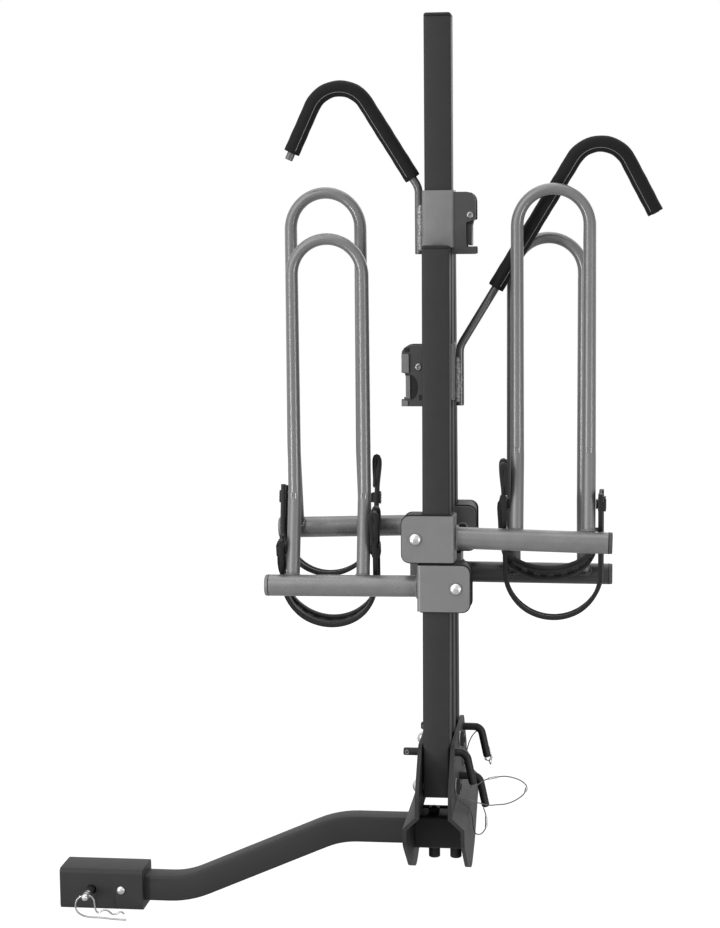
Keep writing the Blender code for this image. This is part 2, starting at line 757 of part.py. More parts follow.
def cheek_outline():
    top = SLIDER_HEIGHT - 2 * MM
    corner = 11 * MM
    root = TUBE_SIDE / 2 + 1.6 * MM
    centre = Vector((CHEEK_REACH - corner, top - corner))
    arc = [centre + corner * Vector((math.cos(a), math.sin(a)))
           for a in (math.pi / 8 * step for step in range(5))]
    notch_in = RIVET_X - 4.4 * MM
    return [
        (root, -CHEEK_DROP), (CHEEK_REACH, -CHEEK_DROP), (CHEEK_REACH, 0.5 * MM),
        (notch_in, 0.5 * MM), (notch_in, 29 * MM), (CHEEK_REACH, 32 * MM), *arc, (root, top),
    ]


def make_slider(name, frame):
    side = TUBE_SIDE + 2 * SLIDE_FIT + 2 * SLIDER_WALL
    item = square_tube(name, side, SLIDER_WALL, SLIDER_HEIGHT, frame,
                       (0, 0, SLIDER_HEIGHT / 2), corner=4.2 * MM, finish=BRACKET_PAINT)
    for cheek_side in (-1, 1):
        loops = [cheek_outline(), circle(RIVET_RADIUS + GAP, (RIVET_X, RIVET_HEIGHT), 14)]
        curve = outline_curve(name + "_cheek", loops, CHEEK_THICKNESS)
        y = cheek_side * (CHEEK_INSIDE + CHEEK_THICKNESS / 2)
        cheek = add(name + "_cheek", curve, frame, (0, y, 0), (math.pi / 2, 0, 0))
        cheek = as_mesh(cheek)
        parts.objects.unlink(cheek)
        cutters.objects.link(cheek)
        boolean(item, cheek, "UNION")
    join_box(item, (8 * MM, 15 * MM, 14 * MM), (side / 2 - SLIDER_WALL / 2, 0, PAWL_HEIGHT),
             operation="DIFFERENCE")
    return item


PAWL_HEIGHT = RIVET_HEIGHT - 6 * MM
LEVER_HUB = 5.4 * MM


def make_lever(name, frame):
    """Release lever with a pawl that bites on the mast below the rivet."""
    nose = TUBE_SIDE / 2 + GAP
    rivet = Vector((RIVET_X, RIVET_HEIGHT))
    hub = [rivet + LEVER_HUB * Vector((math.cos(a), math.sin(a)))
           for a in (math.pi * (0.02 + 0.13 * step) for step in range(8))]
    outline = [
        *hub, (nose + 3 * MM, PAWL_HEIGHT + 3.5 * MM), (nose, PAWL_HEIGHT),
        (nose + 6 * MM, PAWL_HEIGHT - 4 * MM), (RIVET_X - 4 * MM, RIVET_HEIGHT - 9 * MM),
        (RIVET_X - 3.6 * MM, 3 * MM), (RIVET_X + 1.6 * MM, 2 * MM),
        (RIVET_X + 2.2 * MM, RIVET_HEIGHT - 12 * MM),
    ]
    loops = [outline, circle(RIVET_RADIUS + GAP, rivet, 14)]
    width = 13 * MM
    curve = outline_curve(name, loops, width)
    item = as_mesh(add(name, curve, frame, rotation=(math.pi / 2, 0, 0)), 35)
    tab = (5.4 * MM, 2 * CHEEK_INSIDE - 1.6 * MM, 24 * MM)
    join_box(item, tab, (RIVET_X - 1 * MM, 0, 14.5 * MM))
    paint(item, BLACK_OXIDE, name)
    return item


def make_rivet(name, frame):
    half = CHEEK_INSIDE + CHEEK_THICKNESS + GAP
    head = dome_profile(5 * MM, 1.8 * MM, 3)
    profile = [(r, h + half) for r, h in head] + [(RIVET_RADIUS, half)]
    profile += [(r, -h) for r, h in reversed(profile)]
    item = turned(name, profile, frame, (RIVET_X, 0, RIVET_HEIGHT), turned_to(Y_AXIS), 16)
    paint(item, ZINC, name)


def rod_path(corners):
    x = -(TUBE_SIDE / 2 + SLIDE_FIT + SLIDER_WALL + ROD_RADIUS + GAP)
    start = Vector((x, 0, -CHEEK_DROP))
    knee = Vector((x, 0, corners[0]))
    crown = Vector((corners[1][0], 0, corners[1][1]))
    tip = Vector((corners[2][0], 0, corners[2][1]))
    return fillet_path([start, knee, crown, tip], [HOOK_KNEE_RADIUS, HOOK_BEND_RADIUS])


def make_hook(label, height, turn, corners, grip_start, tip_bare):
    """Corners give the knee's height, then the crown's and the tip's X and Z."""
    frame = empty(label + "_frame", rack, (0, 0, height), (0, 0, turn))
    make_slider(label + "_slider", frame)
    make_lever(label + "_lever", frame)
    make_rivet(label + "_rivet", frame)
    path = rod_path(corners)
    rod = add(label + "_rod", tube_curve(label + "_rod", path, ROD_RADIUS), frame)
    paint(rod, PAINT_GREY, rod.name)
    length = lengths_along(path)[-1]
    covered = part_of(path, grip_start, length - tip_bare)
    curve = tube_curve(label + "_grip", covered, GRIP_RADIUS, caps=False)
    grip = as_mesh(add(label + "_grip", curve, frame), 35)
    thicken(grip, GRIP_RADIUS - ROD_RADIUS - GAP, -1)
    paint(grip, FOAM, grip.name)


HOOK_UPPER_HEIGHT = 783.5 * MM
HOOK_UPPER = (69.5 * MM, (-120.8 * MM, 224.8 * MM), (-177.4 * MM, 103.6 * MM))
HOOK_LOWER_HEIGHT = 605.5 * MM
HOOK_LOWER = (61.4 * MM, (-189.6 * MM, 332.3 * MM), (-251.2 * MM, 215 * MM))


# Arms and wheel holders. An arm's frame has its origin on the pivot, +Z up the arm and +Y
# towards the mast.

def lock_slot(target, frame):
    """Slot that lets the arm swing clear of its lock pin: an arc about the pivot."""
    half = LOCK_PIN_RADIUS + GAP
    sweep = math.radians(33)
    steps = 7

    def on_arc(radius, angle):
        return Vector((radius * math.sin(angle), radius * math.cos(angle)))

    end = on_arc(LOCK_DISTANCE, 0)
    outer = [on_arc(LOCK_DISTANCE + half, sweep * s / steps) for s in range(steps + 1)]
    inner = [on_arc(LOCK_DISTANCE - half, sweep * s / steps) for s in range(steps, -1, -1)]
    round_end = [end + half * Vector((-math.sin(a), -math.cos(a)))
                 for a in (math.pi * s / 8 for s in range(1, 8))]
    curve = outline_curve("lock_slot", [outer + inner + round_end], TUBE_SIDE + 20 * MM)
    axes = Matrix(((0, 0, 1), (1, 0, 0), (0, 1, 0))).to_euler()
    tool = as_mesh(add(target.name + "_lock_slot", curve, frame, rotation=axes))
    parts.objects.unlink(tool)
    cutters.objects.link(tool)
    boolean(target, tool)


def make_arm(label, turn, end):
    frame = empty(label + "_turn", rack, (0, end * PIVOT_OFFSET, PIVOT_HEIGHT), (0, 0, turn))
    frame = empty(label + "_frame", frame, rotation=(-ARM_LEAN, 0, 0))
    length = ARM_LENGTH - CAP_HEIGHT + ARM_FOOT
    tube = square_tube(label + "_tube", TUBE_SIDE, TUBE_WALL, length, frame,
                       (0, 0, length / 2 - ARM_FOOT))
    drill(tube, PIVOT_RADIUS + GAP, TUBE_SIDE + 20 * MM, (0, 0, 0), X_AXIS)
    lock_slot(tube, frame)
    tube_cap(label + "_cap", TUBE_SIDE, frame, (0, 0, ARM_LENGTH - CAP_HEIGHT))
    return frame


def bracket_outline(side):
    """U section open away from the crossbar, which is on the given side."""
    bend = 4 * MM
    web = side * (BRACKET_WEB - bend)
    reach = BRACKET_DEPTH - bend
    arc = [math.pi / 8 * step for step in range(5)]
    first = [(web + side * bend * math.sin(a), -reach - bend * math.cos(a)) for a in arc]
    second = [(web + side * bend * math.cos(a), reach + bend * math.sin(a)) for a in arc]
    lip = -side * BRACKET_LIP
    return [(lip, -BRACKET_DEPTH), *first, *second, (lip, BRACKET_DEPTH)]


def make_bracket(label, frame, side):
    name = label + "_bracket"
    mesh = strip_mesh(name, bracket_outline(side), BRACKET_HEIGHT, BRACKET_CORNER)
    item = add(name, mesh, frame)
    thicken(item, BRACKET_THICKNESS, -side)
    smooth(item)
    drill(item, CLAMP_BOLT_RADIUS + GAP, 70 * MM, (-side * CLAMP_BOLT_X, 0, 0), Y_AXIS, 20)
    paint(item, BRACKET_PAINT, name)


def make_liner(label, frame, side):
    """Plastic pad between the bracket and the arm, and beside the arm round the bolt."""
    name = label + "_liner"
    depth = BRACKET_DEPTH - BRACKET_THICKNESS - GAP
    inner = side * (BRACKET_WEB - BRACKET_THICKNESS - GAP)
    outer = -side * (BRACKET_LIP - 0.8 * MM)
    centre = (inner + outer) / 2
    half = abs(inner - outer) / 2
    block = [(centre + p.x, p.y) for p in rounded_rectangle(half, depth, 1.6 * MM, 2)]
    bore = TUBE_SIDE / 2 + SLIDE_FIT
    loops = [block, rounded_rectangle(bore, bore, TUBE_CORNER, 2)]
    curve = outline_curve(name, loops, BRACKET_HEIGHT + 2 * LINER_PROUD)
    item = as_mesh(add(name, curve, frame), 35)
    drill(item, CLAMP_BOLT_RADIUS + GAP, 70 * MM, (-side * CLAMP_BOLT_X, 0, 0), Y_AXIS, 20)
    paint(item, BLACK_PLASTIC, name)


def make_crossbar(label, frame, side, droop):
    """Round tube, closed at its outer end, welded to the bracket's web."""
    name = label + "_crossbar"
    start = BRACKET_WEB + GAP + CROSSBAR_RADIUS * math.sin(droop)
    length = CROSSBAR_END - start
    bore = CROSSBAR_RADIUS - CROSSBAR_WALL
    closed = 4 * MM
    profile = [
        (0, length), (CROSSBAR_RADIUS - 1 * MM, length), (CROSSBAR_RADIUS, length - 1 * MM),
        (CROSSBAR_RADIUS, 0), (bore, 0), (bore, length - closed), (0, length - closed),
    ]
    axis = Vector((side * math.cos(droop), 0, -math.sin(droop)))
    item = turned(name, profile, frame, (side * start, 0, 0), turned_to(axis), 24)
    paint(item, PAINT_GREY, name)


def leg_y(height):
    """How far a hoop leg stands towards the mast at a height above the crossbar."""
    return HOOP_FOOT_Y + (HOOP_BEND_Y - HOOP_FOOT_Y) * height / HOOP_BEND_Z


def make_hoop(label, frame, centre, axis):
    """Inverted U whose legs lean to the mast and turn upright at the bend."""
    name = label + "_hoop"
    top_z = HOOP_TOP_Z - HOOP_HALF
    lean = (HOOP_TOP_Y - HOOP_BEND_Y) / (HOOP_TOP_Z - HOOP_BEND_Z)

    def upright(z):
        return HOOP_BEND_Y + lean * (z - HOOP_BEND_Z)

    arch = []
    for step in range(17):
        angle = math.pi * step / 16
        z = top_z + HOOP_HALF * math.sin(angle)
        arch.append(Vector((HOOP_HALF * math.cos(angle), upright(z), z)))
    legs = []
    for side in (1, -1):
        foot = Vector((side * HOOP_HALF, HOOP_FOOT_Y, -3 * MM))
        bend = Vector((side * HOOP_HALF, HOOP_BEND_Y, HOOP_BEND_Z))
        top = Vector((side * HOOP_HALF, upright(top_z), top_z))
        legs.append(fillet_path([foot, bend, top], [70 * MM], math.radians(5))[:-1])
    path = legs[0] + arch + legs[1][::-1]
    item = add(name, tube_curve(name, path, HOOP_RADIUS), frame, centre)
    item = as_mesh(item, 35)
    below = centre - Vector((0, 0, 13 * MM))
    drill(item, CROSSBAR_RADIUS + GAP, 3 * HOOP_HALF, centre, axis, 24)
    join_box(item, (3 * HOOP_HALF, 60 * MM, 24 * MM), below, turned_to(axis.cross(Y_AXIS)),
             operation="DIFFERENCE")
    paint(item, PAINT_GREY, name)


def strap_path(drop, side):
    """In the strap's plane: X along the crossbar, Y down; the loop is on the arm's side."""
    arm = -side
    inner = arm * (STRAP_HALF - STRAP_FOLD_RADIUS)
    outer = arm * (STRAP_HALF + STRAP_FOLD_RADIUS)
    top = -STRAP_TAIL + STRAP_FOLD_RADIUS
    points = [(inner, -13 * MM), (inner, top)]
    for step in range(1, 6):
        angle = math.pi * step / 6
        points.append((arm * (STRAP_HALF - STRAP_FOLD_RADIUS * math.cos(angle)),
                       top - STRAP_FOLD_RADIUS * math.sin(angle)))
    points += [(outer, top), (outer, -18 * MM), (arm * STRAP_HALF, -8 * MM)]
    bow = min(STRAP_HALF, drop)
    for step in range(25):
        angle = math.pi * step / 24
        points.append((arm * STRAP_HALF * math.cos(angle),
                       drop - bow + bow * math.sin(angle)))
    points.append((-arm * STRAP_HALF, -16 * MM))
    return points


def make_strap(label, frame, side, centre, height, tilt, drop):
    """Ladder strap that hangs from the hoop's legs; its pins lie along X."""
    name = label + "_strap"
    pivot = centre + Vector((0, leg_y(height), height))
    swing = empty(label + "_strap_frame", frame, pivot, (-math.pi / 2 + tilt, 0, 0))
    mesh = strip_mesh(name, strap_path(drop, side), STRAP_WIDTH)
    item = add(name, mesh, swing)
    thicken(item, STRAP_THICKNESS, 0)
    start = HOOP_HALF + HOOP_RADIUS + GAP
    for end in (-1, 1):
        length = STRAP_HALF + 5 * MM - start
        boss = add(name + "_boss", cylinder_mesh("boss", STRAP_BOSS_RADIUS, length, 16), swing,
                   (end * (start + length / 2), 0, 0), turned_to(X_AXIS), cutters)
        boolean(item, boss, "UNION")
    buckle = (8 * MM, 12 * MM, STRAP_WIDTH - 1 * MM)
    for end in (-1, 1):
        join_box(item, buckle, (end * (STRAP_HALF + 1 * MM), 0, 0))
    for block in item.modifiers[-2:]:
        block.object.parent = swing
    paint(item, BLACK_PLASTIC, name)


def make_holder(label, arm_frame, side, height, centre, droop, strap):
    frame = empty(label + "_frame", arm_frame, (0, 0, height))
    make_bracket(label, frame, side)
    make_liner(label, frame, side)
    bolt(label + "_bolt", frame, (-side * CLAMP_BOLT_X, -BRACKET_DEPTH - GAP, 0), -Y_AXIS,
         2 * BRACKET_DEPTH + 2 * GAP, CLAMP_BOLT_RADIUS, 7 * MM, 4.2 * MM, 7.2 * MM, 5 * MM)
    make_crossbar(label, frame, side, droop)
    axis = Vector((side * math.cos(droop), 0, -math.sin(droop)))
    middle = side * BRACKET_WEB * X_AXIS + (centre - BRACKET_WEB) * axis
    make_hoop(label, frame, middle, axis)
    make_strap(label, frame, side, middle, *strap)


# Side of the arm, height up the arm, hoop centre and how far the crossbar droops, then
# for the strap: its pins' height above the crossbar, its tilt to the mast and its drop.
HOLDERS = {
    "front": {
        "lower": (-1, FRONT_HOLDER_HEIGHT, 130 * MM, math.radians(0.3),
                  (41 * MM, math.radians(17), 93 * MM)),
        "upper": (1, FRONT_HOLDER_HEIGHT + HOLDER_STEP, 134 * MM, math.radians(1.5),
                  (42 * MM, math.radians(12), 137 * MM)),
    },
    "rear": {
        "lower": (-1, REAR_HOLDER_HEIGHT, 127 * MM, math.radians(0.3),
                  (41 * MM, math.radians(37), 53 * MM)),
        "upper": (1, REAR_HOLDER_HEIGHT + HOLDER_STEP, 137.5 * MM, math.radians(1.5),
                  (39 * MM, math.radians(14), 92 * MM)),
    },
}


clear_scene()
parts = new_collection("hitch_bike_rack")
cutters = new_collection("cutters", hidden=True)
rack = empty("rack_frame", None, (HITCH_REACH, 0, ADAPTER_SIDE / 2))

make_adapter()
make_shank()
make_hitch_pin()
make_clip()
make_base()
make_pivot_bolts()
make_lock_pins()
make_lanyards()
make_mast()
make_hook("hook_upper", HOOK_UPPER_HEIGHT, 0, HOOK_UPPER, 90 * MM, 9 * MM)
make_hook("hook_lower", HOOK_LOWER_HEIGHT, math.pi, HOOK_LOWER, 150 * MM, 0.6 * MM)
for arm, turn, end in (("front", 0, -1), ("rear", math.pi, 1)):
    arm_frame = make_arm("arm_" + arm, turn, end)
    for place, sizes in HOLDERS[arm].items():
        make_holder("holder_" + arm + "_" + place, arm_frame, *sizes)
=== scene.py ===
# %% [markdown]
# # A hitch bike rack, folded up
# The rack stands in a car's hitch: a square adapter and a bent shank at the bottom left, a pair
# of pressed side plates, a mast, and two arms folded up beside the mast, one in front and one
# behind. Four wheel holders sit on the arms and two padded hooks slide on the mast. The packed
# model gives every size and every moving part, so this script only adds what the eye sees: finer
# shapes, welds, seams and finishes. The first cell loads the model and keeps its box, to compare
# with at the end.

# %% Load the model
import json
import math
import random

import bmesh
import bpy
from mathutils import Matrix, Vector


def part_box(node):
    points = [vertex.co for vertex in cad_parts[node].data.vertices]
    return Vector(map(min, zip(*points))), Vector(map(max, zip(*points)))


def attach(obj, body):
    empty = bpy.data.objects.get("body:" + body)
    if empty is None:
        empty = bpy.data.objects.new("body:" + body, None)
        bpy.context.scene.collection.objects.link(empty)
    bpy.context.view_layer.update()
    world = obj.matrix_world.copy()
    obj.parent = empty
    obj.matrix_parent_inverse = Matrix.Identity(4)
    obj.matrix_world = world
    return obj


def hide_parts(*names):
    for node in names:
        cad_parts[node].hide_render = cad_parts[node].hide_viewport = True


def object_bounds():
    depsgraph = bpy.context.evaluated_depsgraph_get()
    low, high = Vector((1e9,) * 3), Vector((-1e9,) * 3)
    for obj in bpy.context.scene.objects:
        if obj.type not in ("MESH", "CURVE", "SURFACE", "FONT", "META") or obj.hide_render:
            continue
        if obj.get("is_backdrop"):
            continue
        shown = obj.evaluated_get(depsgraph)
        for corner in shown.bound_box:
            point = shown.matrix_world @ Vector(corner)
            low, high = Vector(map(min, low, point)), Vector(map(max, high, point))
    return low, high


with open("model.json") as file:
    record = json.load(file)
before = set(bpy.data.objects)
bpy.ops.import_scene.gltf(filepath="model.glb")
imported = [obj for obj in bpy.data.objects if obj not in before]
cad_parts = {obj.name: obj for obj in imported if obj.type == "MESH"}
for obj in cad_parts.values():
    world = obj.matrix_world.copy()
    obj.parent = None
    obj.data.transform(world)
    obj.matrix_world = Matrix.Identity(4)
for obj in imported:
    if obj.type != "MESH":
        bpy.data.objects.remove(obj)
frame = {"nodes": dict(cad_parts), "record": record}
cad_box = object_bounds()
BODY_OF = {node: body for body, nodes in frame["record"]["behaviour"]["bodies"].items()
           for node in nodes}
print("nodes:", len(BODY_OF), "box:", [round(value, 4) for corner in cad_box for value in corner])

# %% [markdown]
# ## Where things are
# A steel fabricator reads millimetres from the mast's centre line and up from the hitch's axis.
# The same origin is found here from two nodes of the model: the mast gives X, the adapter gives
# Z. Each piece is drawn in millimetres in a frame of its own and then carried to its place by a
# matrix.

# %% Frames in millimetres
MM = 0.001


def middle(node):
    low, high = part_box(node)
    return (low + high) / 2


RACK = Vector((middle("mast_tube").x, 0, middle("adapter_sleeve").z))
TO_METRES = Matrix.Scale(MM, 4)


def at(x=0.0, y=0.0, z=0.0, turn=Matrix.Identity(4)):
    """A frame at a place in millimetres, turned."""
    return Matrix.Translation((x, y, z)) @ turn


def along(axis):
    """A turn that lays local Z along an axis."""
    return Vector((0, 0, 1)).rotation_difference(Vector(axis)).to_matrix().to_4x4()


def spin(angle, axis="Z"):
    return Matrix.Rotation(angle, 4, axis)


RACK_FRAME = Matrix.Translation(RACK) @ TO_METRES
print("mast centre line at", [round(value, 4) for value in RACK])

# %% [markdown]
# ## Camera
# The photograph was taken with a long lens from a little to the right of the rack, and looks down
# by about seven degrees, which is why the adapter's top and the plates' right sides show. The
# camera's matrix is built from those few angles, because one small turn is then easy to change.

# %% Camera
CAMERA_PLACE = Vector((0.62307, -2.38008, 0.84191))
CAMERA_TURN = math.radians(7.196)
CAMERA_DIP = math.radians(6.911)
CAMERA_ROLL = math.radians(-0.581)
PICTURE_WIDTH = 720
FOCAL_PIXELS = 2024.1
SENSOR_WIDTH = 36.0


def camera_matrix():
    forward = Vector((-math.sin(CAMERA_TURN) * math.cos(CAMERA_DIP),
                      math.cos(CAMERA_TURN) * math.cos(CAMERA_DIP), -math.sin(CAMERA_DIP)))
    right = Vector((math.cos(CAMERA_TURN), math.sin(CAMERA_TURN), 0))
    above = right.cross(forward)
    level = right * math.cos(CAMERA_ROLL) + above * math.sin(CAMERA_ROLL)
    upright = above * math.cos(CAMERA_ROLL) - right * math.sin(CAMERA_ROLL)
    turn = Matrix((level, upright, -forward)).transposed().to_4x4()
    return Matrix.Translation(CAMERA_PLACE) @ turn


lens = bpy.data.cameras.new("camera")
lens.sensor_fit = "HORIZONTAL"
lens.sensor_width = SENSOR_WIDTH
lens.lens = FOCAL_PIXELS / PICTURE_WIDTH * SENSOR_WIDTH
lens.shift_x = lens.shift_y = 1 / PICTURE_WIDTH
camera = bpy.data.objects.new("camera", lens)
camera.matrix_world = camera_matrix()
bpy.context.scene.collection.objects.link(camera)
bpy.context.scene.camera = camera
print("lens", round(lens.lens, 2), "mm")

# %% [markdown]
# ## Finishes as arithmetic
# A finish is a small sum: a base colour, plus a cloud of slow variation, plus fine grain, plus
# wear. Writing `0.4 + 0.1 * cloud` is easier to read than a page of nodes, so a value that varies
# over a surface is wrapped in a class whose operators add the Math nodes. Every other node comes
# from one method, which sets the node's settings first and its sockets after.

# %% A value and a finish
SHARPNESS = (0.515, 0.60)


class Value:
    """A number or colour that varies over a surface."""

    def __init__(self, nodes, socket):
        self.nodes = nodes
        self.socket = socket

    def math(self, operation, first, second):
        return self.nodes.node("ShaderNodeMath", {"operation": operation}, {0: first, 1: second})

    def __add__(self, other):
        return self.math("ADD", self, other)

    def __sub__(self, other):
        return self.math("SUBTRACT", self, other)

    def __mul__(self, other):
        return self.math("MULTIPLY", self, other)

    __radd__ = __add__
    __rmul__ = __mul__


class Nodes:
    """The node tree of a material or a world, and the shader that its values go into."""

    def __init__(self, owner, shader):
        owner.use_nodes = True
        self.tree = owner.node_tree
        self.shader = self.tree.nodes[shader]

    def node(self, kind, settings=None, sockets=None, output=0):
        made = self.tree.nodes.new(kind)
        for name, setting in (settings or {}).items():
            setattr(made, name, setting)
        for name, value in (sockets or {}).items():
            if isinstance(value, Value):
                self.tree.links.new(value.socket, made.inputs[name])
            else:
                made.inputs[name].default_value = value
        return Value(self, made.outputs[output])

    def vary(self, socket, value):
        self.tree.links.new(value.socket, self.shader.inputs[socket])

    def ray(self, kind):
        """1 for the rays of one kind, otherwise 0."""
        return self.node("ShaderNodeLightPath", output=f"Is {kind} Ray")

    def ramp(self, value, low, high):
        """From 0 below low to 1 above high."""
        return self.node("ShaderNodeMapRange", {"clamp": True}, {
            "Value": value, "From Min": low, "From Max": high, "To Min": 0.0, "To Max": 1.0})


class Finish(Nodes):
    """A procedural material whose constants sit on the shader's own sockets."""

    def __init__(self, name, slot, constants):
        self.slot = slot
        self.material = bpy.data.materials.new(name)
        super().__init__(self.material, "Principled BSDF")
        for socket, value in constants.items():
            self.shader.inputs[socket].default_value = value

    def place(self, stretch=(1, 1, 1)):
        """The surface's own coordinates in metres, which may be stretched."""
        here = self.node("ShaderNodeTexCoord", output="Object")
        return self.node("ShaderNodeVectorMath", {"operation": "MULTIPLY"}, {0: here, 1: stretch})

    def noise(self, per_metre, detail=2.0, stretch=(1, 1, 1)):
        return self.node("ShaderNodeTexNoise", sockets={
            "Vector": self.place(stretch), "Scale": per_metre, "Detail": detail})

    def cells(self, per_metre):
        return self.node("ShaderNodeTexVoronoi", sockets={
            "Vector": self.place(), "Scale": per_metre})

    def edges(self):
        """1 on sharp outer edges, where a finish rubs thin."""
        sharp = self.node("ShaderNodeNewGeometry", output="Pointiness")
        return self.ramp(sharp, *SHARPNESS)

    def tint(self, mask, first, second):
        """A colour that goes from the first to the second with a mask."""
        return self.node("ShaderNodeMix", {"data_type": "RGBA"}, {
            0: mask, 6: (*first, 1), 7: (*second, 1)}, output=2)

    def relief(self, height, distance, strength):
        bump = self.node("ShaderNodeBump", sockets={
            "Height": height, "Distance": distance, "Strength": strength})
        self.vary("Normal", bump)


def grey(level):
    return (level, level, level * 1.01)


# %% [markdown]
# ## Paint
# All the steel is powder coated: a dry powder is melted on, and it sets with a soft orange-peel
# skin and thin spots on sharp edges. The mast, arms and base are satin black and the holders
# pewter grey. One function makes both, since only the shade, gloss and grain differ between them.
# The grey ones differ a little from part to part, and the cheeks read much darker in the
# photograph, so they have a darker coat of their own. The rear lower crossbar and its hoop
# weld sit in shade, and their dark coat is painted shade.

# %% Powder coats
def powder_coat(name, slot, shade, gloss, peel, metal=0.0, specular=0.5):
    finish = Finish(name, slot, {"Metallic": metal, "Specular IOR Level": specular})
    cloud = finish.noise(7.0, 3.0)
    grain = finish.noise(650.0, 3.0)
    rubbed = finish.edges() * finish.ramp(finish.noise(60.0, 4.0), 0.35, 0.7)
    mask = 0.34 * cloud + 0.36 * grain + 0.5 * rubbed
    finish.vary("Base Color", finish.tint(mask, grey(shade * 0.8), grey(shade * 1.32)))
    finish.vary("Roughness", gloss - 0.04 + 0.1 * cloud + 0.05 * grain - 0.06 * rubbed)
    finish.relief(finish.noise(520.0, 2.0) + 0.5 * grain, 0.0004, peel)
    return finish


BLACK = powder_coat("black_powder_coat", "black_paint", 0.0205, 0.54, 0.12, specular=0.28)
GREY = powder_coat("pewter_powder_coat", "grey_paint", 0.17, 0.27, 0.008, metal=0.3)
ROD = powder_coat("rod_powder_coat", "grey_paint", 0.105, 0.26, 0.05, metal=0.3)
BRACKET = powder_coat("bracket_powder_coat", "bracket_paint", 0.162, 0.42, 0.08, metal=0.1)
CHEEK = powder_coat("cheek_powder_coat", "bracket_paint", 0.04, 0.4, 0.14, metal=0.1)
# Painted shade: a dark coat for the rear lower crossbar and its hoop weld, in place of their
# shade.
PAINTED_SHADE_COAT = powder_coat("painted_shade_powder_coat", "grey_paint", 0.03, 0.34, 0.08, metal=0.2)
WELD = powder_coat("painted_weld", "grey_paint", 0.27, 0.36, 0.2, metal=0.2)
FOOT_WELD = powder_coat("foot_weld", "grey_paint", 0.14, 0.4, 0.14, metal=0.1)
# Painted highlight: the die marks are real dents, and their lighter coat stands in for the glint
# they catch.
DIE_MARK_HIGHLIGHT = powder_coat("die_mark_painted_highlight", "grey_paint", 0.3, 0.36, 0.1, metal=0.3)
print("paints:", len([BLACK, GREY, ROD, BRACKET, CHEEK, PAINTED_SHADE_COAT, WELD, FOOT_WELD, DIE_MARK_HIGHLIGHT]))

# %% [markdown]
# ## Metal, rubber and plastic
# Bolt heads and the clip are bright zinc, and rivets and wire a duller one, whose crystals give a
# faint mottle. The pins are chemically blackened steel with drawing marks. The hook sleeves are
# closed-cell foam with a fine pored skin, the straps are moulded rubber, and caps and liners are
# spark-textured plastic.

# %% Metal, rubber and plastic finishes
def zinc_plate(name, slot, shade, gloss):
    finish = Finish(name, slot, {"Metallic": 1.0})
    crystal = finish.cells(420.0)
    cloud = finish.noise(160.0, 3.0)
    finish.vary("Base Color", finish.tint(0.5 * crystal + 0.5 * cloud, grey(shade * 0.86),
                                          grey(min(shade * 1.12, 1.0))))
    finish.vary("Roughness", gloss + 0.12 * cloud)
    finish.relief(cloud, 0.0002, 0.12)
    return finish


def blackened_steel():
    finish = Finish("blackened_steel", "black_oxide", {"Metallic": 0.1, "Specular IOR Level": 0.3})
    marks = finish.noise(90.0, 4.0, (1.0, 8.0, 8.0))
    oil = finish.noise(35.0, 2.0)
    finish.vary("Base Color", finish.tint(0.4 * marks + 0.7 * finish.edges(), grey(0.009),
                                          grey(0.045)))
    finish.vary("Roughness", 0.3 + 0.14 * oil)
    finish.relief(marks, 0.0002, 0.15)
    return finish


def foam_skin():
    finish = Finish("foam_skin", "foam", {"Specular IOR Level": 0.14})
    pores = finish.cells(1500.0)
    cloud = finish.noise(45.0, 4.0)
    finish.vary("Base Color", finish.tint(0.6 * cloud + 0.3 * pores, grey(0.0045), grey(0.0125)))
    finish.vary("Roughness", 0.62 + 0.14 * cloud)
    finish.relief(finish.ramp(pores, 0.0, 0.5) + 0.6 * finish.noise(500.0, 3.0), 0.0003, 0.3)
    return finish


def moulded(name, slot, shade, gloss, texture, specular):
    finish = Finish(name, slot, {"Specular IOR Level": specular})
    cloud = finish.noise(30.0, 3.0)
    spark = finish.noise(1800.0, 2.0)
    finish.vary("Base Color", finish.tint(0.5 * cloud + 0.6 * finish.edges(), grey(shade * 0.75),
                                          grey(shade * 1.9)))
    finish.vary("Roughness", gloss + 0.12 * cloud)
    finish.relief(spark, 0.0003, texture)
    return finish


ZINC = zinc_plate("bright_zinc", "zinc", 0.6, 0.24)
SPRING = zinc_plate("spring_wire", "zinc", 0.36, 0.28)
RIVET = zinc_plate("rolled_rivet", "zinc", 0.26, 0.34)
WIRE = zinc_plate("stranded_wire", "wire", 0.12, 0.34)
CRIMP = zinc_plate("crimped_sleeve", "wire", 0.5, 0.3)
OXIDE = blackened_steel()
FOAM = foam_skin()
SEAM = moulded("foam_seam", "foam", 0.09, 0.4, 0.1, 0.5)
RUBBER = moulded("strap_rubber", "strap_rubber", 0.0075, 0.42, 0.12, 0.3)
PLASTIC = moulded("black_plastic", "black_plastic", 0.0075, 0.5, 0.25, 0.25)
PLUG = moulded("plug_plastic", "black_plastic", 0.045, 0.5, 0.2, 0.35)

# %% [markdown]
# ## Drawing tools
# Nearly all of the rack is tube, rod, strap and turned parts, so three tools make it. A sweep
# carries an outline along a path, a lathe turns a profile, and a prism gives a flat outline its
# thickness. Meshes made this way keep clean quads and a constant wall, which a boolean would
# spoil.

# %% Paths
def vectors(places):
    return [Vector(place) for place in places]


def rounded(corners, radii, step=math.radians(6)):
    """Straight runs whose corners are arcs, one radius a corner."""
    corners = vectors(corners)
    path = [corners[0]]
    for index, radius in enumerate(radii, start=1):
        here = corners[index]
        back = (corners[index - 1] - here).normalized()
        ahead = (corners[index + 1] - here).normalized()
        half = back.angle(ahead) / 2
        centre = here + (back + ahead).normalized() * (radius / math.sin(half))
        start = here + back * (radius / math.tan(half))
        sweep_angle = math.pi - 2 * half
        axis = back.cross(ahead).normalized()
        steps = max(2, round(sweep_angle / step))
        for count in range(steps + 1):
            turn = Matrix.Rotation(-sweep_angle * count / steps, 3, axis)
            path.append(centre + turn @ (start - centre))
    path.append(corners[-1])
    return path


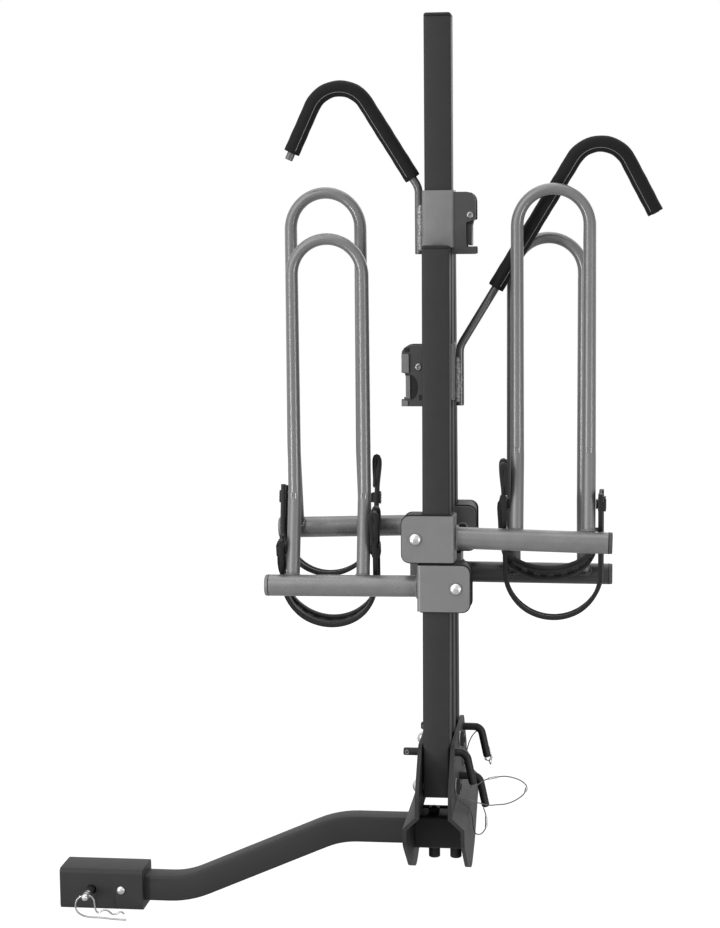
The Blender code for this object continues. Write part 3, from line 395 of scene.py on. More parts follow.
def smooth_curve(places, steps=12):
    """A curve through every place, with even steps between each two."""
    places = vectors(places)
    padded = [2 * places[0] - places[1], *places, 2 * places[-1] - places[-2]]
    fine = []
    for a, b, c, d in zip(padded, padded[1:], padded[2:], padded[3:]):
        for count in range(steps):
            t = count / steps
            fine.append(0.5 * (2 * b + (c - a) * t + (2 * a - 5 * b + 4 * c - d) * t ** 2
                               + (3 * b - a - 3 * c + d) * t ** 3))
    return fine + [places[-1]]


def run_lengths(path):
    total = [0.0]
    for start, end in zip(path, path[1:]):
        total.append(total[-1] + (end - start).length)
    return total


def stretch_of(path, start, end, spacing):
    """Points at even steps between two distances along a path."""
    lengths = run_lengths(path)
    count = max(2, round((end - start) / spacing))
    places = []
    index = 1
    for step in range(count + 1):
        distance = start + (end - start) * step / count
        while index < len(path) - 1 and lengths[index] < distance:
            index += 1
        share = (distance - lengths[index - 1]) / (lengths[index] - lengths[index - 1])
        places.append(path[index - 1].lerp(path[index], share))
    return places


def evenly(path, spacing):
    return stretch_of(path, 0, run_lengths(path)[-1], spacing)


# %% Outlines
def turns(angle, steps):
    """Even steps from 0 up to an angle."""
    return [angle * step / steps for step in range(steps + 1)]


def ring(radius, sides=24, flat=1.0):
    """A round outline, or an oval one where flat isn't 1."""
    return [(radius * math.cos(a), radius * flat * math.sin(a))
            for a in turns(2 * math.pi, sides)[:-1]]


def soft_rectangle(half_x, half_y, radius, steps=4):
    outline = []
    for quarter, (sx, sy) in enumerate(((1, 1), (-1, 1), (-1, -1), (1, -1))):
        for step in range(steps + 1):
            angle = (quarter + step / steps) * math.pi / 2
            outline.append((sx * (half_x - radius) + radius * math.cos(angle),
                            sy * (half_y - radius) + radius * math.sin(angle)))
    return outline


# %% Sweep, lathe and prism
def stitch(bm, first, second):
    """Faces between two rings, either of which may be a single point."""
    count = max(len(first), len(second))
    for index in range(count):
        after = (index + 1) % count
        if len(first) == 1:
            bm.faces.new((first[0], second[after], second[index]))
        elif len(second) == 1:
            bm.faces.new((first[index], first[after], second[0]))
        else:
            bm.faces.new((first[index], first[after], second[after], second[index]))


def skin(bm, outlines, caps=True):
    """A surface through outlines that lie one after the other."""
    rings = [[bm.verts.new(place) for place in outline] for outline in outlines]
    for first, second in zip(rings, rings[1:]):
        stitch(bm, first, second)
    if caps:
        bm.faces.new(rings[0])
        bm.faces.new(rings[-1])
    return rings


def carried(path, reference):
    """A side and an upward direction at each point, carried along without twist."""
    ends = list(zip([path[0], *path[:-1]], [*path[1:], path[-1]]))
    tangents = [(after - before).normalized() for before, after in ends]
    side = Vector(reference)
    frames = []
    for index, tangent in enumerate(tangents):
        if index:
            side = tangents[index - 1].rotation_difference(tangent) @ side
        side = (side - tangent * side.dot(tangent)).normalized()
        frames.append((side, tangent.cross(side)))
    return frames


def sweep(bm, path, outline, reference=(0, 1, 0), caps=True):
    """Carry an outline along a path; outline may be a function of the point's number."""
    at_point = outline if callable(outline) else lambda index: outline
    frames = enumerate(zip(path, carried(path, reference)))
    return skin(bm, [[place + side * a + above * b for a, b in at_point(index)]
                     for index, (place, (side, above)) in frames], caps)


def lathe(bm, profile, sides=32, where=Matrix.Identity(4)):
    """Turn a profile of radius and height about local Z."""
    skin(bm, [[where @ Vector((x, y, height))
               for x, y in (ring(radius, sides) if radius else [(0, 0)])]
              for radius, height in profile], caps=False)


def prism(bm, outline, low, high, edge=0.4, where=Matrix.Identity(4)):
    """A flat outline with thickness along local Z and eased rims."""
    corners = vectors(outline)
    centre = sum(corners, Vector((0, 0))) / len(corners)
    skin(bm, [[where @ Vector((*(place + (centre - place).normalized() * inset), height))
               for place in corners]
              for height, inset in ((low, edge), (low + edge, 0), (high - edge, 0), (high, edge))])


def block(bm, size, where=Matrix.Identity(4), edge=0.5):
    x, y, z = (value / 2 for value in size)
    prism(bm, soft_rectangle(x, y, edge, 2), -z, z, edge, where)


# %% [markdown]
# ## Putting a piece in place
# A finished shape becomes one object: its normals are made to point outwards, it takes its
# finish, it rides on the body that carries the node it stands for, and that node is no longer
# shown. Where the model's own shape is already right, as on a cut and drilled plate, the piece
# starts from that shape and only gains the eased edges that pressing and powder coating leave.

# %% Piece and refined piece
pieces = []


def piece(name, bm, finish, body, where=RACK_FRAME, nodes=(), angle=35):
    bmesh.ops.recalc_face_normals(bm, faces=bm.faces)
    bm.transform(where)
    mesh = bpy.data.meshes.new(name)
    bm.to_mesh(mesh)
    bm.free()
    mesh.materials.append(finish.material)
    mesh.shade_smooth()
    mesh.set_sharp_from_angle(angle=math.radians(angle))
    item = bpy.data.objects.new(name, mesh)
    bpy.context.scene.collection.objects.link(item)
    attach(item, body)
    if nodes:
        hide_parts(*nodes)
    pieces.append(item)
    return item


def ease_edges(item, name, width, segments, angle):
    """A bevel on every edge that is sharper than an angle."""
    ease = item.modifiers.new(name, "BEVEL")
    ease.width = width * MM
    ease.segments = segments
    ease.limit_method = "ANGLE"
    ease.angle_limit = math.radians(angle)
    return ease


def refined(node, finish, width, segments=2):
    """The node's own shape with eased edges."""
    bm = bmesh.new()
    bm.from_mesh(frame["nodes"][node].data)
    bmesh.ops.remove_doubles(bm, verts=bm.verts, dist=0.01 * MM)
    bmesh.ops.dissolve_limit(bm, angle_limit=math.radians(1), verts=bm.verts, edges=bm.edges)
    item = piece(node + "_finished", bm, finish, BODY_OF[node], Matrix.Identity(4), (node,))
    ease_edges(item, "eased_edges", width, segments, 28).harden_normals = True
    return item


# %% [markdown]
# ## Lanyards
# Three thin wire ropes keep the lock pins with the rack. Each is six strands laid round a core,
# so its outline has six lobes that turn as they go along. The route is the one that the model
# follows: out of the pin's handle, round in an open loop and back to the side plate. All three
# carry crimped sleeves, which are pressed flat on two sides.

# %% Lanyard routes and rope
ROPE_RADIUS, ROPE_LAY, ROPE_STRANDS, ROPE_SPACING = 0.75, 7.0, 6, 0.8
CRIMP_RADIUS = 1.55
LANYARD_ROUTES = {
    "front": [
        (38.9, -61.9, 154.1), (40, -61.6, 152), (46, -52, 151.6), (53.4, -42, 154.6),
        (63.9, -36, 156.6),
        (78.9, -35, 158.3), (92.6, -35, 155.4), (100.8, -35, 150.6), (103.6, -35, 145.1),
        (99.5, -35, 136.5), (89.9, -35, 129.2), (78.9, -35, 124.7), (67.9, -36, 123.6),
        (59, -40, 124), (48.8, -48, 128.5), (39.3, -55, 133), (30, -59, 137),
        (24.2, -62, 139.6), (22.4, -63, 140),
    ],
    "mast": [
        (49.9, 0, 109.1), (51.6, -0.6, 105), (53.4, -2, 98), (53.8, -4, 91), (52.8, -7, 85.2),
        (48.3, -11, 80), (43, -16, 80.6), (40.4, -23, 87), (39.6, -31, 97), (39.2, -40, 110),
        (36.6, -50, 122), (30, -59, 132), (24.4, -66, 138), (22.4, -68.4, 139.4),
    ],
    "rear": [
        (47.9, 61.9, 154.1), (48.9, 63, 151.4), (52.6, 68, 149.4), (54.4, 73.6, 153.6),
        (51, 76, 166), (46, 77, 178), (41, 77, 184), (36, 77, 183),
        (31, 77, 177), (27, 76.6, 168), (24.6, 76, 158), (23.2, 75.6, 150.4),
        (22.4, 75, 145.6),
    ],
}
# Distances along the rope at which a sleeve starts, and its length.
SLEEVES = {"front": [(34, 11), (84, 6)], "mast": [(11, 13)], "rear": [(20, 9)]}


def rope_outline(distance):
    outline = []
    for x, y in ring(1.0, 3 * ROPE_STRANDS):
        angle = math.atan2(y, x) + 2 * math.pi * distance / ROPE_LAY
        lobe = 0.5 + 0.5 * math.cos(ROPE_STRANDS * math.atan2(y, x))
        radius = ROPE_RADIUS * (0.8 + 0.2 * lobe)
        outline.append((radius * math.cos(angle), radius * math.sin(angle)))
    return outline


def make_sleeve(name, path, start, length):
    bm = bmesh.new()
    route = stretch_of(path, start, start + length, 0.5)
    last = len(route) - 1

    def crimped(index):
        share = index / last
        dent = 0.22 * max(0.0, math.sin(4 * math.pi * share)) ** 2
        ease = 0.25 if index in (0, last) else 0.0
        return ring(CRIMP_RADIUS - ease, 16, 1 - dent)

    sweep(bm, route, crimped, (1, 0, 0))
    return piece(name, bm, CRIMP, "base")


def make_lanyard(label):
    path = evenly(smooth_curve(LANYARD_ROUTES[label]), ROPE_SPACING)
    lengths = run_lengths(path)
    bm = bmesh.new()
    sweep(bm, path, lambda index: rope_outline(lengths[index]))
    item = piece("rope_" + label, bm, WIRE, "base", nodes=("lanyard_" + label,), angle=60)
    sleeves = [make_sleeve(f"rope_{label}_sleeve_{count}", path, start, length)
               for count, (start, length) in enumerate(SLEEVES[label])]
    route = [RACK_FRAME @ place for place in path]
    total = sum((b - a).length for a, b in zip(route, route[1:]))
    return total


for label in LANYARD_ROUTES:
    print("lanyard", label, round(make_lanyard(label), 4), "m")

# %% [markdown]
# ## Square tube and pressed plates
# Mast, arms, adapter and shank are welded square tube, and the base is two pressed plates with a
# joggle below the arm pivots. Their cut-outs and drilled holes are exact in the model, so each
# one starts from its node. A cut edge under powder coat is never sharp: it has a radius of about
# half a millimetre, and that thin line of light is most of what makes painted steel look like
# steel.

# %% Tubes, plates and caps
EASED_BLACK = {
    "adapter_sleeve": 0.8, "shank_tube": 0.5, "base_plate_left": 0.8, "base_plate_right": 0.8,
    "cross_sleeve": 0.5, "cross_tie": 0.8, "mast_tube": 0.4, "arm_front_tube": 0.4,
    "arm_rear_tube": 0.4,
}
for node, width in EASED_BLACK.items():
    refined(node, BLACK, width)
for node in ("mast_cap", "arm_front_cap", "arm_rear_cap"):
    refined(node, PLASTIC, 0.4)
print("eased tubes and plates:", len(EASED_BLACK))

# %% [markdown]
# ## Bolts
# A domed head is a stamped cap with a thin skirt, and on its other end a chamfered nut sits on a
# plain washer with a thread or two showing. Head, washer and thread are turned profiles, because
# a lathe gives the dome an even highlight, and the nut is a six-sided prism with tapered rims.

# %% A bolt, its washer and its nut
THREAD_PITCH = 1.25


def dome(radius, height, steps=8):
    skirt = 0.5
    arc = [(radius * math.sin(angle), skirt + (height - skirt) * math.cos(angle))
           for angle in turns(math.pi / 2, steps)]
    return arc + [(radius, 0.15), (radius - 0.3, 0)]


def hexagon(bm, across, low, high, where):
    """A nut: a prism whose corners are taken off by a chamfer at both ends."""
    cut = across * 0.07
    levels = ((low, 1 - 0.09), (low + cut, 1.0), (high - cut, 1.0), (high, 1 - 0.09))
    skin(bm, [[where @ Vector((x * share, y * share, height)) for x, y in ring(across, 6)]
              for height, share in levels])


def thread(bm, radius, start, end, where):
    """Turned ridges that stand for a thread, from start down to end."""
    profile = [(0, start), (radius, start)]
    turns = max(1, int((start - end) / THREAD_PITCH))
    for turn in range(turns):
        top = start - turn * THREAD_PITCH
        profile += [(radius - 0.55, top - 0.5 * THREAD_PITCH), (radius, top - THREAD_PITCH)]
    profile += [(radius - 0.8, end), (0, end)]
    lathe(bm, profile, 20, where)


def make_bolt(node, where, grip, shank, head, head_height, nut, nut_height):
    """Local Z points out of the head, and the origin is the seat."""
    bm = bmesh.new()
    lathe(bm, dome(head, head_height), 36, where)
    lathe(bm, [(0, 0.2), (shank, 0.2), (shank, -grip - 0.2), (0, -grip - 0.2)], 20, where)
    thin = 1.0
    rim = nut * 1.04
    lathe(bm, [(0, -grip), (rim - 0.2, -grip), (rim, -grip - 0.2), (rim, -grip - thin + 0.2),
               (rim - 0.2, -grip - thin), (0, -grip - thin)], 32, where)
    piece(node + "_finished", bm, ZINC, BODY_OF[node], nodes=(node,))
    bm = bmesh.new()
    hexagon(bm, nut, -grip - nut_height, -grip - thin, where)
    thread(bm, shank - 0.2, -grip - nut_height + 0.3, -grip - nut_height - 1.4, where)
    piece(node + "_nut", bm, OXIDE, BODY_OF[node])


# %% The bolts of the base and the adapter
PLATE_FACE = 21.6
PIVOT_Y = 63.5
PIVOT_Z = 152.5
MAST_BOLT_Z = 193.5
ADAPTER_X = -420.0
ADAPTER_HALF = 25.4

for node, y, z in (("arm_pivot_bolt_front", -PIVOT_Y, PIVOT_Z),
                   ("arm_pivot_bolt_rear", PIVOT_Y, PIVOT_Z), ("mast_bolt", 0, MAST_BOLT_Z)):
    seat = at(-PLATE_FACE, y, z, along((-1, 0, 0)))
    make_bolt(node, seat, 2 * PLATE_FACE, 5.0, 8.0, 8.0, 9.2, 6.0)
make_bolt("adapter_bolt", at(ADAPTER_X + 25, -ADAPTER_HALF - 0.3, 0, along((0, -1, 0))),
          2 * ADAPTER_HALF + 0.6, 3.9, 5.2, 3.0, 7.5, 6.5)
print("bolts through the plates:", 2 * PLATE_FACE, "mm of grip")

# %% The sleeve's two upright bolts
SHANK_Z = 82.0
SLEEVE_HALF = 20.025
SLEEVE_X = 3.4
SLEEVE_BOLT_OFFSET = 13


def make_sleeve_bolt(node, x):
    """A blackened cap screw whose tall head hangs below the sleeve, with a lock nut on top."""
    bm = bmesh.new()
    seat = at(x, 0, SHANK_Z - SLEEVE_HALF - 0.3, along((0, 0, -1)))
    profile = [(0, 14.2), (2.6, 14.2), (3.4, 15), (5.9, 15), (6.9, 14.2), (7, 13.8)]
    for ridge in range(6):
        top = 12.6 - 1.6 * ridge
        profile += [(7, top), (6.75, top - 0.25), (6.75, top - 0.55), (7, top - 0.8)]
    profile += [(7, 2.2), (6.6, 1.8), (6.6, 0.4), (6.2, 0), (0, 0)]
    lathe(bm, profile, 32, seat)
    grip = 2 * SLEEVE_HALF + 0.6
    lathe(bm, [(0, 0.2), (4, 0.2), (4, -grip - 0.2), (0, -grip - 0.2)], 20, seat)
    hexagon(bm, 7.4, -grip - 6.5, -grip, seat)
    thread(bm, 3.8, -grip - 6.2, -grip - 7.9, seat)
    piece(node + "_finished", bm, OXIDE, "base", nodes=(node,))


make_sleeve_bolt("sleeve_bolt_left", SLEEVE_X - SLEEVE_BOLT_OFFSET)
make_sleeve_bolt("sleeve_bolt_right", SLEEVE_X + SLEEVE_BOLT_OFFSET)

# %% [markdown]
# ## Hitch pin and its clip
# The pin that locks the adapter in the car's receiver is a bent black bar with a bright turned
# nose. A clip of spring wire passes through a hole in the nose, wraps round it in a loop, and its
# two legs lie one above the other with a wave that springs over the bar. Both are sweeps of a
# round outline.

# %% Rods with eased ends
def rod(bm, path, radius, edge=0.6, sides=24, reference=(0, 1, 0)):
    """A round bar along a path, with a small chamfer at both ends."""
    first = path[0] + (path[1] - path[0]).normalized() * edge
    last = path[-1] + (path[-2] - path[-1]).normalized() * edge
    route = [path[0], first, *path[1:-1], last, path[-1]]
    end = len(route) - 1

    def outline(index):
        return ring(radius - edge if index in (0, end) else radius, sides)

    sweep(bm, route, outline, reference)


# %% Hitch pin and clip
PIN_X = ADAPTER_X - 12.6
PIN_TIP = -ADAPTER_HALF - 34
PIN_NOSE = 17.0
PIN_SHOULDER = PIN_TIP + PIN_NOSE
CLIP_X, CLIP_Y = ADAPTER_X - 12, PIN_TIP + 9
CLIP_RADIUS = 1.1
CLIP_ROUTE = [
    (47, -21), (42, -18.5), (37, -21.5), (31.5, -21.5), (26, -17.5), (20, -17.5),
    (14, -20.5), (10.8, -16), (10, -10), (8.8, -4), (5.4, -0.3), (0, 0), (-5.4, -0.3),
    (-10, -3), (-13.4, -8.5), (-13.8, -15), (-11, -21), (-4, -25.2), (6, -26.6), (18, -26.8),
    (32, -28), (49, -28.6),
]
bm = bmesh.new()
rod(bm, rounded([(PIN_X, PIN_SHOULDER, 0), (PIN_X, ADAPTER_HALF + 16, 0),
                 (PIN_X, ADAPTER_HALF + 26, -34)], [12]), 4.75, 0.5, reference=(1, 0, 0))
piece("hitch_pin_bar", bm, OXIDE, "base", nodes=("hitch_pin",))
bm = bmesh.new()
lathe(bm, [(0, PIN_NOSE), (1.6, PIN_NOSE - 0.1), (2.9, PIN_NOSE - 0.8), (3.8, PIN_NOSE - 2),
           (4.2, PIN_NOSE - 3.6), (4.2, PIN_NOSE - 6.4), (3.9, PIN_NOSE - 6.8),
           (3.9, PIN_NOSE - 9.4), (4.2, PIN_NOSE - 9.8), (4.2, 0.4), (4.4, 0), (4.4, -1),
           (0, -1)],
      32, at(PIN_X, PIN_SHOULDER, 0, along((0, -1, 0))))
piece("hitch_pin_nose", bm, ZINC, "base")
bm = bmesh.new()
clip_path = evenly(smooth_curve([(x, 0, z) for x, z in CLIP_ROUTE]), 0.9)
rod(bm, [place + Vector((CLIP_X, CLIP_Y, 0)) for place in clip_path], CLIP_RADIUS, 0.3, 12)
piece("hitch_pin_clip_wire", bm, SPRING, "hitch_clip", nodes=("hitch_pin_clip",))
print("clip wire", round(run_lengths(clip_path)[-1]), "mm")

# %% [markdown]
# ## Lock pins
# Each pin is a blackened bar: a straight part through both plates and a handle bent down. The
# handle is dipped in vinyl, with a soft collar near the bend and a rounded foot. The straight end
# carries a rolled eyelet, and the rear pin has a small bright ring at its foot.

# %% Lock pins
LEAN = math.radians(2.18)
LOCK_DISTANCE = 41.0
LOCK_Y = PIVOT_Y - LOCK_DISTANCE * math.sin(LEAN)
LOCK_Z = PIVOT_Z + LOCK_DISTANCE * math.cos(LEAN)
PIN_TAIL, PIN_REACH, PIN_DROP, PIN_BEND = 40.0, 34.0, 38.0, 10.0
PIN_RADIUS, DIP_RADIUS, DIP_START = 4.6, 4.75, 27
PIN_SPLAY = PIN_DROP * math.tan(math.radians(12))
LOCK_PINS = {"front": (0, -LOCK_Y, LOCK_Z), "rear": (9, LOCK_Y, LOCK_Z), "mast": (11, 0, 148.5)}


def make_lock_pin(label, place):
    body = "lock_pin_" + label
    path = rounded([(-PIN_TAIL, 0, 0), (PIN_REACH, 0, 0), (PIN_REACH + PIN_SPLAY, 0, -PIN_DROP)],
                   [PIN_BEND])
    path = [point + Vector(place) for point in path]
    total = run_lengths(path)[-1]
    bm = bmesh.new()
    rod(bm, stretch_of(path, 0, total - 3, 2.5), PIN_RADIUS, 1.0, 24)
    lathe(bm, [(0, 0.05), (2.2, 0.05), (2.4, -0.5), (0, -0.5)], 20,
          at(*path[0], along((-1, 0, 0))))
    piece(body + "_bar", bm, OXIDE, body, nodes=(body,))
    bm = bmesh.new()
    eye = path[0] + Vector((4.4, 0, 0))
    for face in (-1, 1):
        lathe(bm, [(1.3, 3.9), (1.3, 4.7), (1.6, 4.95), (2.3, 4.9), (2.6, 4.5), (2.7, 3.9),
                   (1.3, 3.9)], 20, at(*eye, along((0, face, 0))))
    bmesh.ops.remove_doubles(bm, verts=bm.verts, dist=0.001)
    piece(body + "_eye", bm, RIVET, body)
    bm = bmesh.new()
    route = stretch_of(path, PIN_TAIL + DIP_START, total, 1.2)
    last = len(route) - 1
    ease = {0: 0.12, 1: 0.0, last - 1: 0.35, last: 1.4}
    sweep(bm, route, lambda index: ring(DIP_RADIUS - ease.get(index, 0.0)))
    piece(body + "_dip", bm, RUBBER, body)
    return path


pin_paths = {label: make_lock_pin(label, place) for label, place in LOCK_PINS.items()}
foot = pin_paths["rear"][-1]
bm = bmesh.new()
ring_path = [foot + Vector((2.2 + 3.6 * math.cos(a), 0.6 * math.sin(a), -0.6 + 4.6 * math.sin(a)))
             for a in turns(2 * math.pi, 24)]
sweep(bm, ring_path, ring(0.7, 10), caps=False)
rod(bm, [foot + Vector((3.2, 0, -3.4)), foot + Vector((4.6, 0, -9.4))], 1.6, 0.4, 14)
bmesh.ops.remove_doubles(bm, verts=bm.verts, dist=0.01)
piece("lock_pin_rear_ring", bm, ZINC, "lock_pin_rear")

# %% [markdown]
# ## Welds
# A hand-made weld is a row of overlapping puddles, so its bead swells and narrows along its
# length and wanders a little. A thin round outline is swept along the joint, its radius follows a
# ripple, and seeded chance gives each puddle its own size. Under the powder coat the ripples
# catch light.

# %% A weld bead
chance = random.Random(7)


def bead(bm, path, radius, pitch=2.4, reference=(0, 1, 0)):
    route = evenly(path, pitch / 5)
    last = len(route) - 1
    puddles = [1 + 0.16 * chance.uniform(-1, 1) for _ in range(last // 5 + 3)]

    def outline(index):
        swell = 0.84 + 0.16 * abs(math.sin(math.pi * index / 5))
        taper = min(1.0, 0.45 + 0.35 * min(index, last - index))
        return ring(radius * swell * puddles[index // 5] * taper, 10)

    sweep(bm, route, outline, reference)


# %% [markdown]
# ## Hooks
# Each hook is a square sleeve that slides on the mast, with a bent rod welded to one side and two
# cheek plates on the other. A release lever turns on a rivet between the cheeks. The lower hook
# is the same part turned half round, so one function draws both, in the hook's own frame. The
# cheeks read darker than the slider in the photograph, so their faces carry a darker coat.

# %% Hook sizes
TUBE_SIDE, SLIDER_PLAY, SLIDER_WALL = 31.75, 0.35, 2.5
ROD_RADIUS, ROD_GAP = 4.75, 0.3
ROD_X = -(TUBE_SIDE / 2 + SLIDER_PLAY + SLIDER_WALL + ROD_RADIUS + ROD_GAP)
GRIP_RADIUS, GRIP_BORE, GRIP_RIM = 9.45, 5.2, 6
HOOK_BENDS = (22, 36)
CHEEK_DROP = 8.0
CHEEK_FACE = 15.5
CHEEK_ROOT = 19.3
# Height on the mast, turn, the rod's corners, then where the foam starts and what it leaves bare.
HOOKS = {
    "hook_upper": (783.5, 0, (69.5, (-120.8, 224.8), (-177.4, 103.6)), 90, 9),
    "hook_lower": (605.5, math.pi, (61.4, (-189.6, 332.3), (-251.2, 215)), 150, 0.6),
}


def hook_path(knee, crown, tip):
    corners = ((ROD_X, -CHEEK_DROP), (ROD_X, knee), crown, tip)
    return rounded([(x, 0, z) for x, z in corners], HOOK_BENDS)


# %% Foam sleeve with its seam
def make_grip(label, where, path, start, end):
    """A foam sleeve with cut ends, and the fine moulding line along its lower front side."""
    covered = stretch_of(path, start, end, 4)
    bm = bmesh.new()
    count = len(covered) - 1
    frames = carried(covered, (0, 1, 0))

    def outline(index):
        wave = 0.12 * math.sin(index * 1.3) + 0.08 * math.sin(index * 0.47)
        return ring(GRIP_RADIUS + wave, 32)

    rings = sweep(bm, covered, outline, caps=False)
    for index, direction in ((0, -1), (count, 1)):
        side, above = frames[index]
        lip = covered[index]
        inward = (covered[index - direction] - lip).normalized() * GRIP_RIM
        rim = [side * a + above * b for a, b in ring(GRIP_BORE, 32)]
        inner = [bm.verts.new(lip + spot) for spot in rim]
        deep = [bm.verts.new(lip + inward + spot) for spot in rim]
        stitch(bm, rings[index], inner)
        stitch(bm, inner, deep)
        bm.faces.new(deep)
    item = piece(label + "_sleeve", bm, FOAM, label, where, nodes=(label + "_grip",), angle=50)
    ease_edges(item, "soft_rim", 0.7, 3, 50)
    line = []
    for place, (side, above) in zip(covered, frames):
        toward_camera = side if side.y * where.to_3x3()[1][1] < 0 else -side
        down = above if above.z < 0 else -above
        line.append(place + toward_camera * 8.3 + down * 4.6)
    bm = bmesh.new()
    sweep(bm, line[1:-1], ring(0.42, 8))
    piece(label + "_seam", bm, SEAM, label, where)


# %% Slider, lever and rod
def make_hook(label, height, turn, corners, grip_start, bare):
    where = RACK_FRAME @ at(0, 0, height, spin(turn))
    slider = refined(label + "_slider", BRACKET, 0.5)
    slider.data.materials.append(CHEEK.material)
    for face in slider.data.polygons:
        if (where.inverted() @ face.center).x > CHEEK_ROOT:
            face.material_index = 1
    refined(label + "_lever", OXIDE, 0.5)
    path = hook_path(*corners)
    total = run_lengths(path)[-1]
    bm = bmesh.new()
    rod(bm, path, ROD_RADIUS, 0.6)
    piece(label + "_bar", bm, ROD, label, where, nodes=(label + "_rod",))
    make_grip(label, where, path, grip_start, total - bare)
    bm = bmesh.new()
    slider_side = ROD_X + 2.3
    for depth in (-4.9, 4.9):
        wander = [Vector((slider_side, depth, -4 + step * 2.8))
                  + Vector((chance.uniform(-0.5, 0.5), chance.uniform(-0.5, 0.5), 0))
                  for step in range(20)]
        bead(bm, wander, 3.2, 4.4)
    piece(label + "_rod_weld", bm, WELD, label, where)
    make_release(label, where)


# %% Release side: thumb tab, second rivet and spring window
RIVET_X, RIVET_Z = 37.4, 37.0
SECOND_RIVET = (23.6, 38.4)
UPRIGHT = spin(math.pi / 2, "X")


def make_release(label, where):
    """On local +Y the lever is folded out over the cheek, as a tab for the thumb."""
    side = CHEEK_FACE + 0.25
    bm = bmesh.new()
    block(bm, (8.7, 22.4, 2.0), at(39.3, side + 1.5, 42.8, UPRIGHT), 0.7)
    block(bm, (5.2, 27, 1.6), at(36.3, side + 1.3, 15, UPRIGHT), 0.6)
    piece(label + "_lever_tab", bm, BRACKET, BODY_OF[label + "_lever"], where)
    bm = bmesh.new()
    block(bm, (8, 7, 1.4), at(40.2, side + 0.7, -4.4, UPRIGHT), 0.7)
    piece(label + "_stop_foot", bm, BRACKET, label, where)
    bm = bmesh.new()
    centre = at(SECOND_RIVET[0], side - 0.35, SECOND_RIVET[1], along((0, 1, 0)))
    lathe(bm, [(0, 0.4), (1.5, 0.4), (1.9, 1.3), (2.7, 1.8), (3.8, 1.5), (4.6, 0.6), (4.7, 0),
               (0, 0)], 28, centre)
    piece(label + "_second_rivet", bm, RIVET, label, where)
    bm = bmesh.new()
    window = [(33.2 - 8.2 * math.sin(a), 14.5 + 14.5 * math.cos(a))
              for a in turns(math.pi, 20)]
    prism(bm, window, -0.3, 0.3, 0.1, at(0, side, 0, UPRIGHT))
    block(bm, (5.4, 4.4, 1.0), at(37.4, side + 0.3, 58.6, UPRIGHT), 0.4)
    block(bm, (4, 6, 1.0), at(21.5, side + 0.2, 2.6, UPRIGHT), 0.4)
    piece(label + "_spring_window", bm, PLASTIC, label, where)


for label, sizes in HOOKS.items():
    make_hook(label, *sizes)
    print(label, "at", sizes[0], "mm")

# %% Rivets
def make_rivet(label, where):
    """A tubular rivet: a low collar with a dished, rolled end on -Y, and flush on +Y."""
    bm = bmesh.new()
    half = CHEEK_FACE + 0.3
    collar = [(0, -1.2), (1.5, -1.2), (1.8, 1.3), (2.4, 1.7), (3.5, 1.4), (4.2, 0.6), (4.3, 0)]
    profile = [(radius, half + rise) for radius, rise in collar]
    profile += [(2.8, half), (2.8, 0.1 - half), (0, 0.1 - half)]
    lathe(bm, profile, 28, where @ at(RIVET_X, 0, RIVET_Z, along((0, -1, 0))))
    piece(label + "_rivet_turned", bm, RIVET, label, Matrix.Identity(4),
          nodes=(label + "_rivet",))


for label, (height, turn, *_rest) in HOOKS.items():
    make_rivet(label, RACK_FRAME @ at(0, 0, height, spin(turn)))

# %% [markdown]
# ## Wheel holders
# A bracket bent from plate clamps a plastic liner round the arm, a round crossbar with a plug in
# its end is welded to its web, and an inverted U of tube stands on the crossbar to take a wheel.
# The four holders differ only in their side, height, spacing and strap, in the painted shade
# on the rear lower one and in the painted light on two end plugs, so a short table and one
# frame a holder place them all.

# %% Holder frames
ARM_ENDS = {"front": (-1, 0.0), "rear": (1, math.pi)}
BRACKET_DEPTH, BRACKET_WEB, BRACKET_LIP, CLAMP_X = 21.6, 21.7, 39.5, 23.5
LINER_BORE, LINER_FACE, LINER_HALF, LINER_CORNER = 16.25, 18.3, 28.5, 10.2
CROSSBAR_RADIUS, CROSSBAR_WALL, CROSSBAR_END = 12.7, 2.0, 203.5
PLUG_LENGTH, PLUG_DEPTH = 4.6, 9
HOOP_RADIUS, HOOP_HALF, HOOP_BEND = 8.0, 41.7, 70
# Side, height up the arm, hoop centre, droop of the crossbar, then the strap: height of its pins,
# tilt to the mast, drop, how its bow rolls, and whether light comes through its gaps.
HOLDERS = {
    ("front", "lower"): (-1, 237.5, 130, 0.3, 41, 17, 94, -0.1, False),
    ("front", "upper"): (1, 295, 134, 1.5, 42, 12, 141, 0.24, False),
    ("rear", "lower"): (-1, 236.5, 127, 0.3, 41, 37, 41, -0.2, True),
    ("rear", "upper"): (1, 294, 137.5, 1.5, 39, 14, 92, 0.16, False),
}


def arm_frame(arm):
    end, turn = ARM_ENDS[arm]
    pivot = at(0, end * PIVOT_Y, PIVOT_Z, spin(turn))
    return RACK_FRAME @ pivot @ spin(-LEAN, "X")


# %% Hoop path and its changing outline
FOOT_Y, BEND_Y, TOP_Y = 8.0, 28.0, 14.5
BEND_Z, TOP_Z = 107.0, 406.0
ARCH_Z = TOP_Z - HOOP_HALF


def leg_y(height):
    return FOOT_Y + (BEND_Y - FOOT_Y) * height / BEND_Z


def upright_y(z):
    return BEND_Y + (TOP_Y - BEND_Y) * (z - BEND_Z) / (TOP_Z - BEND_Z)


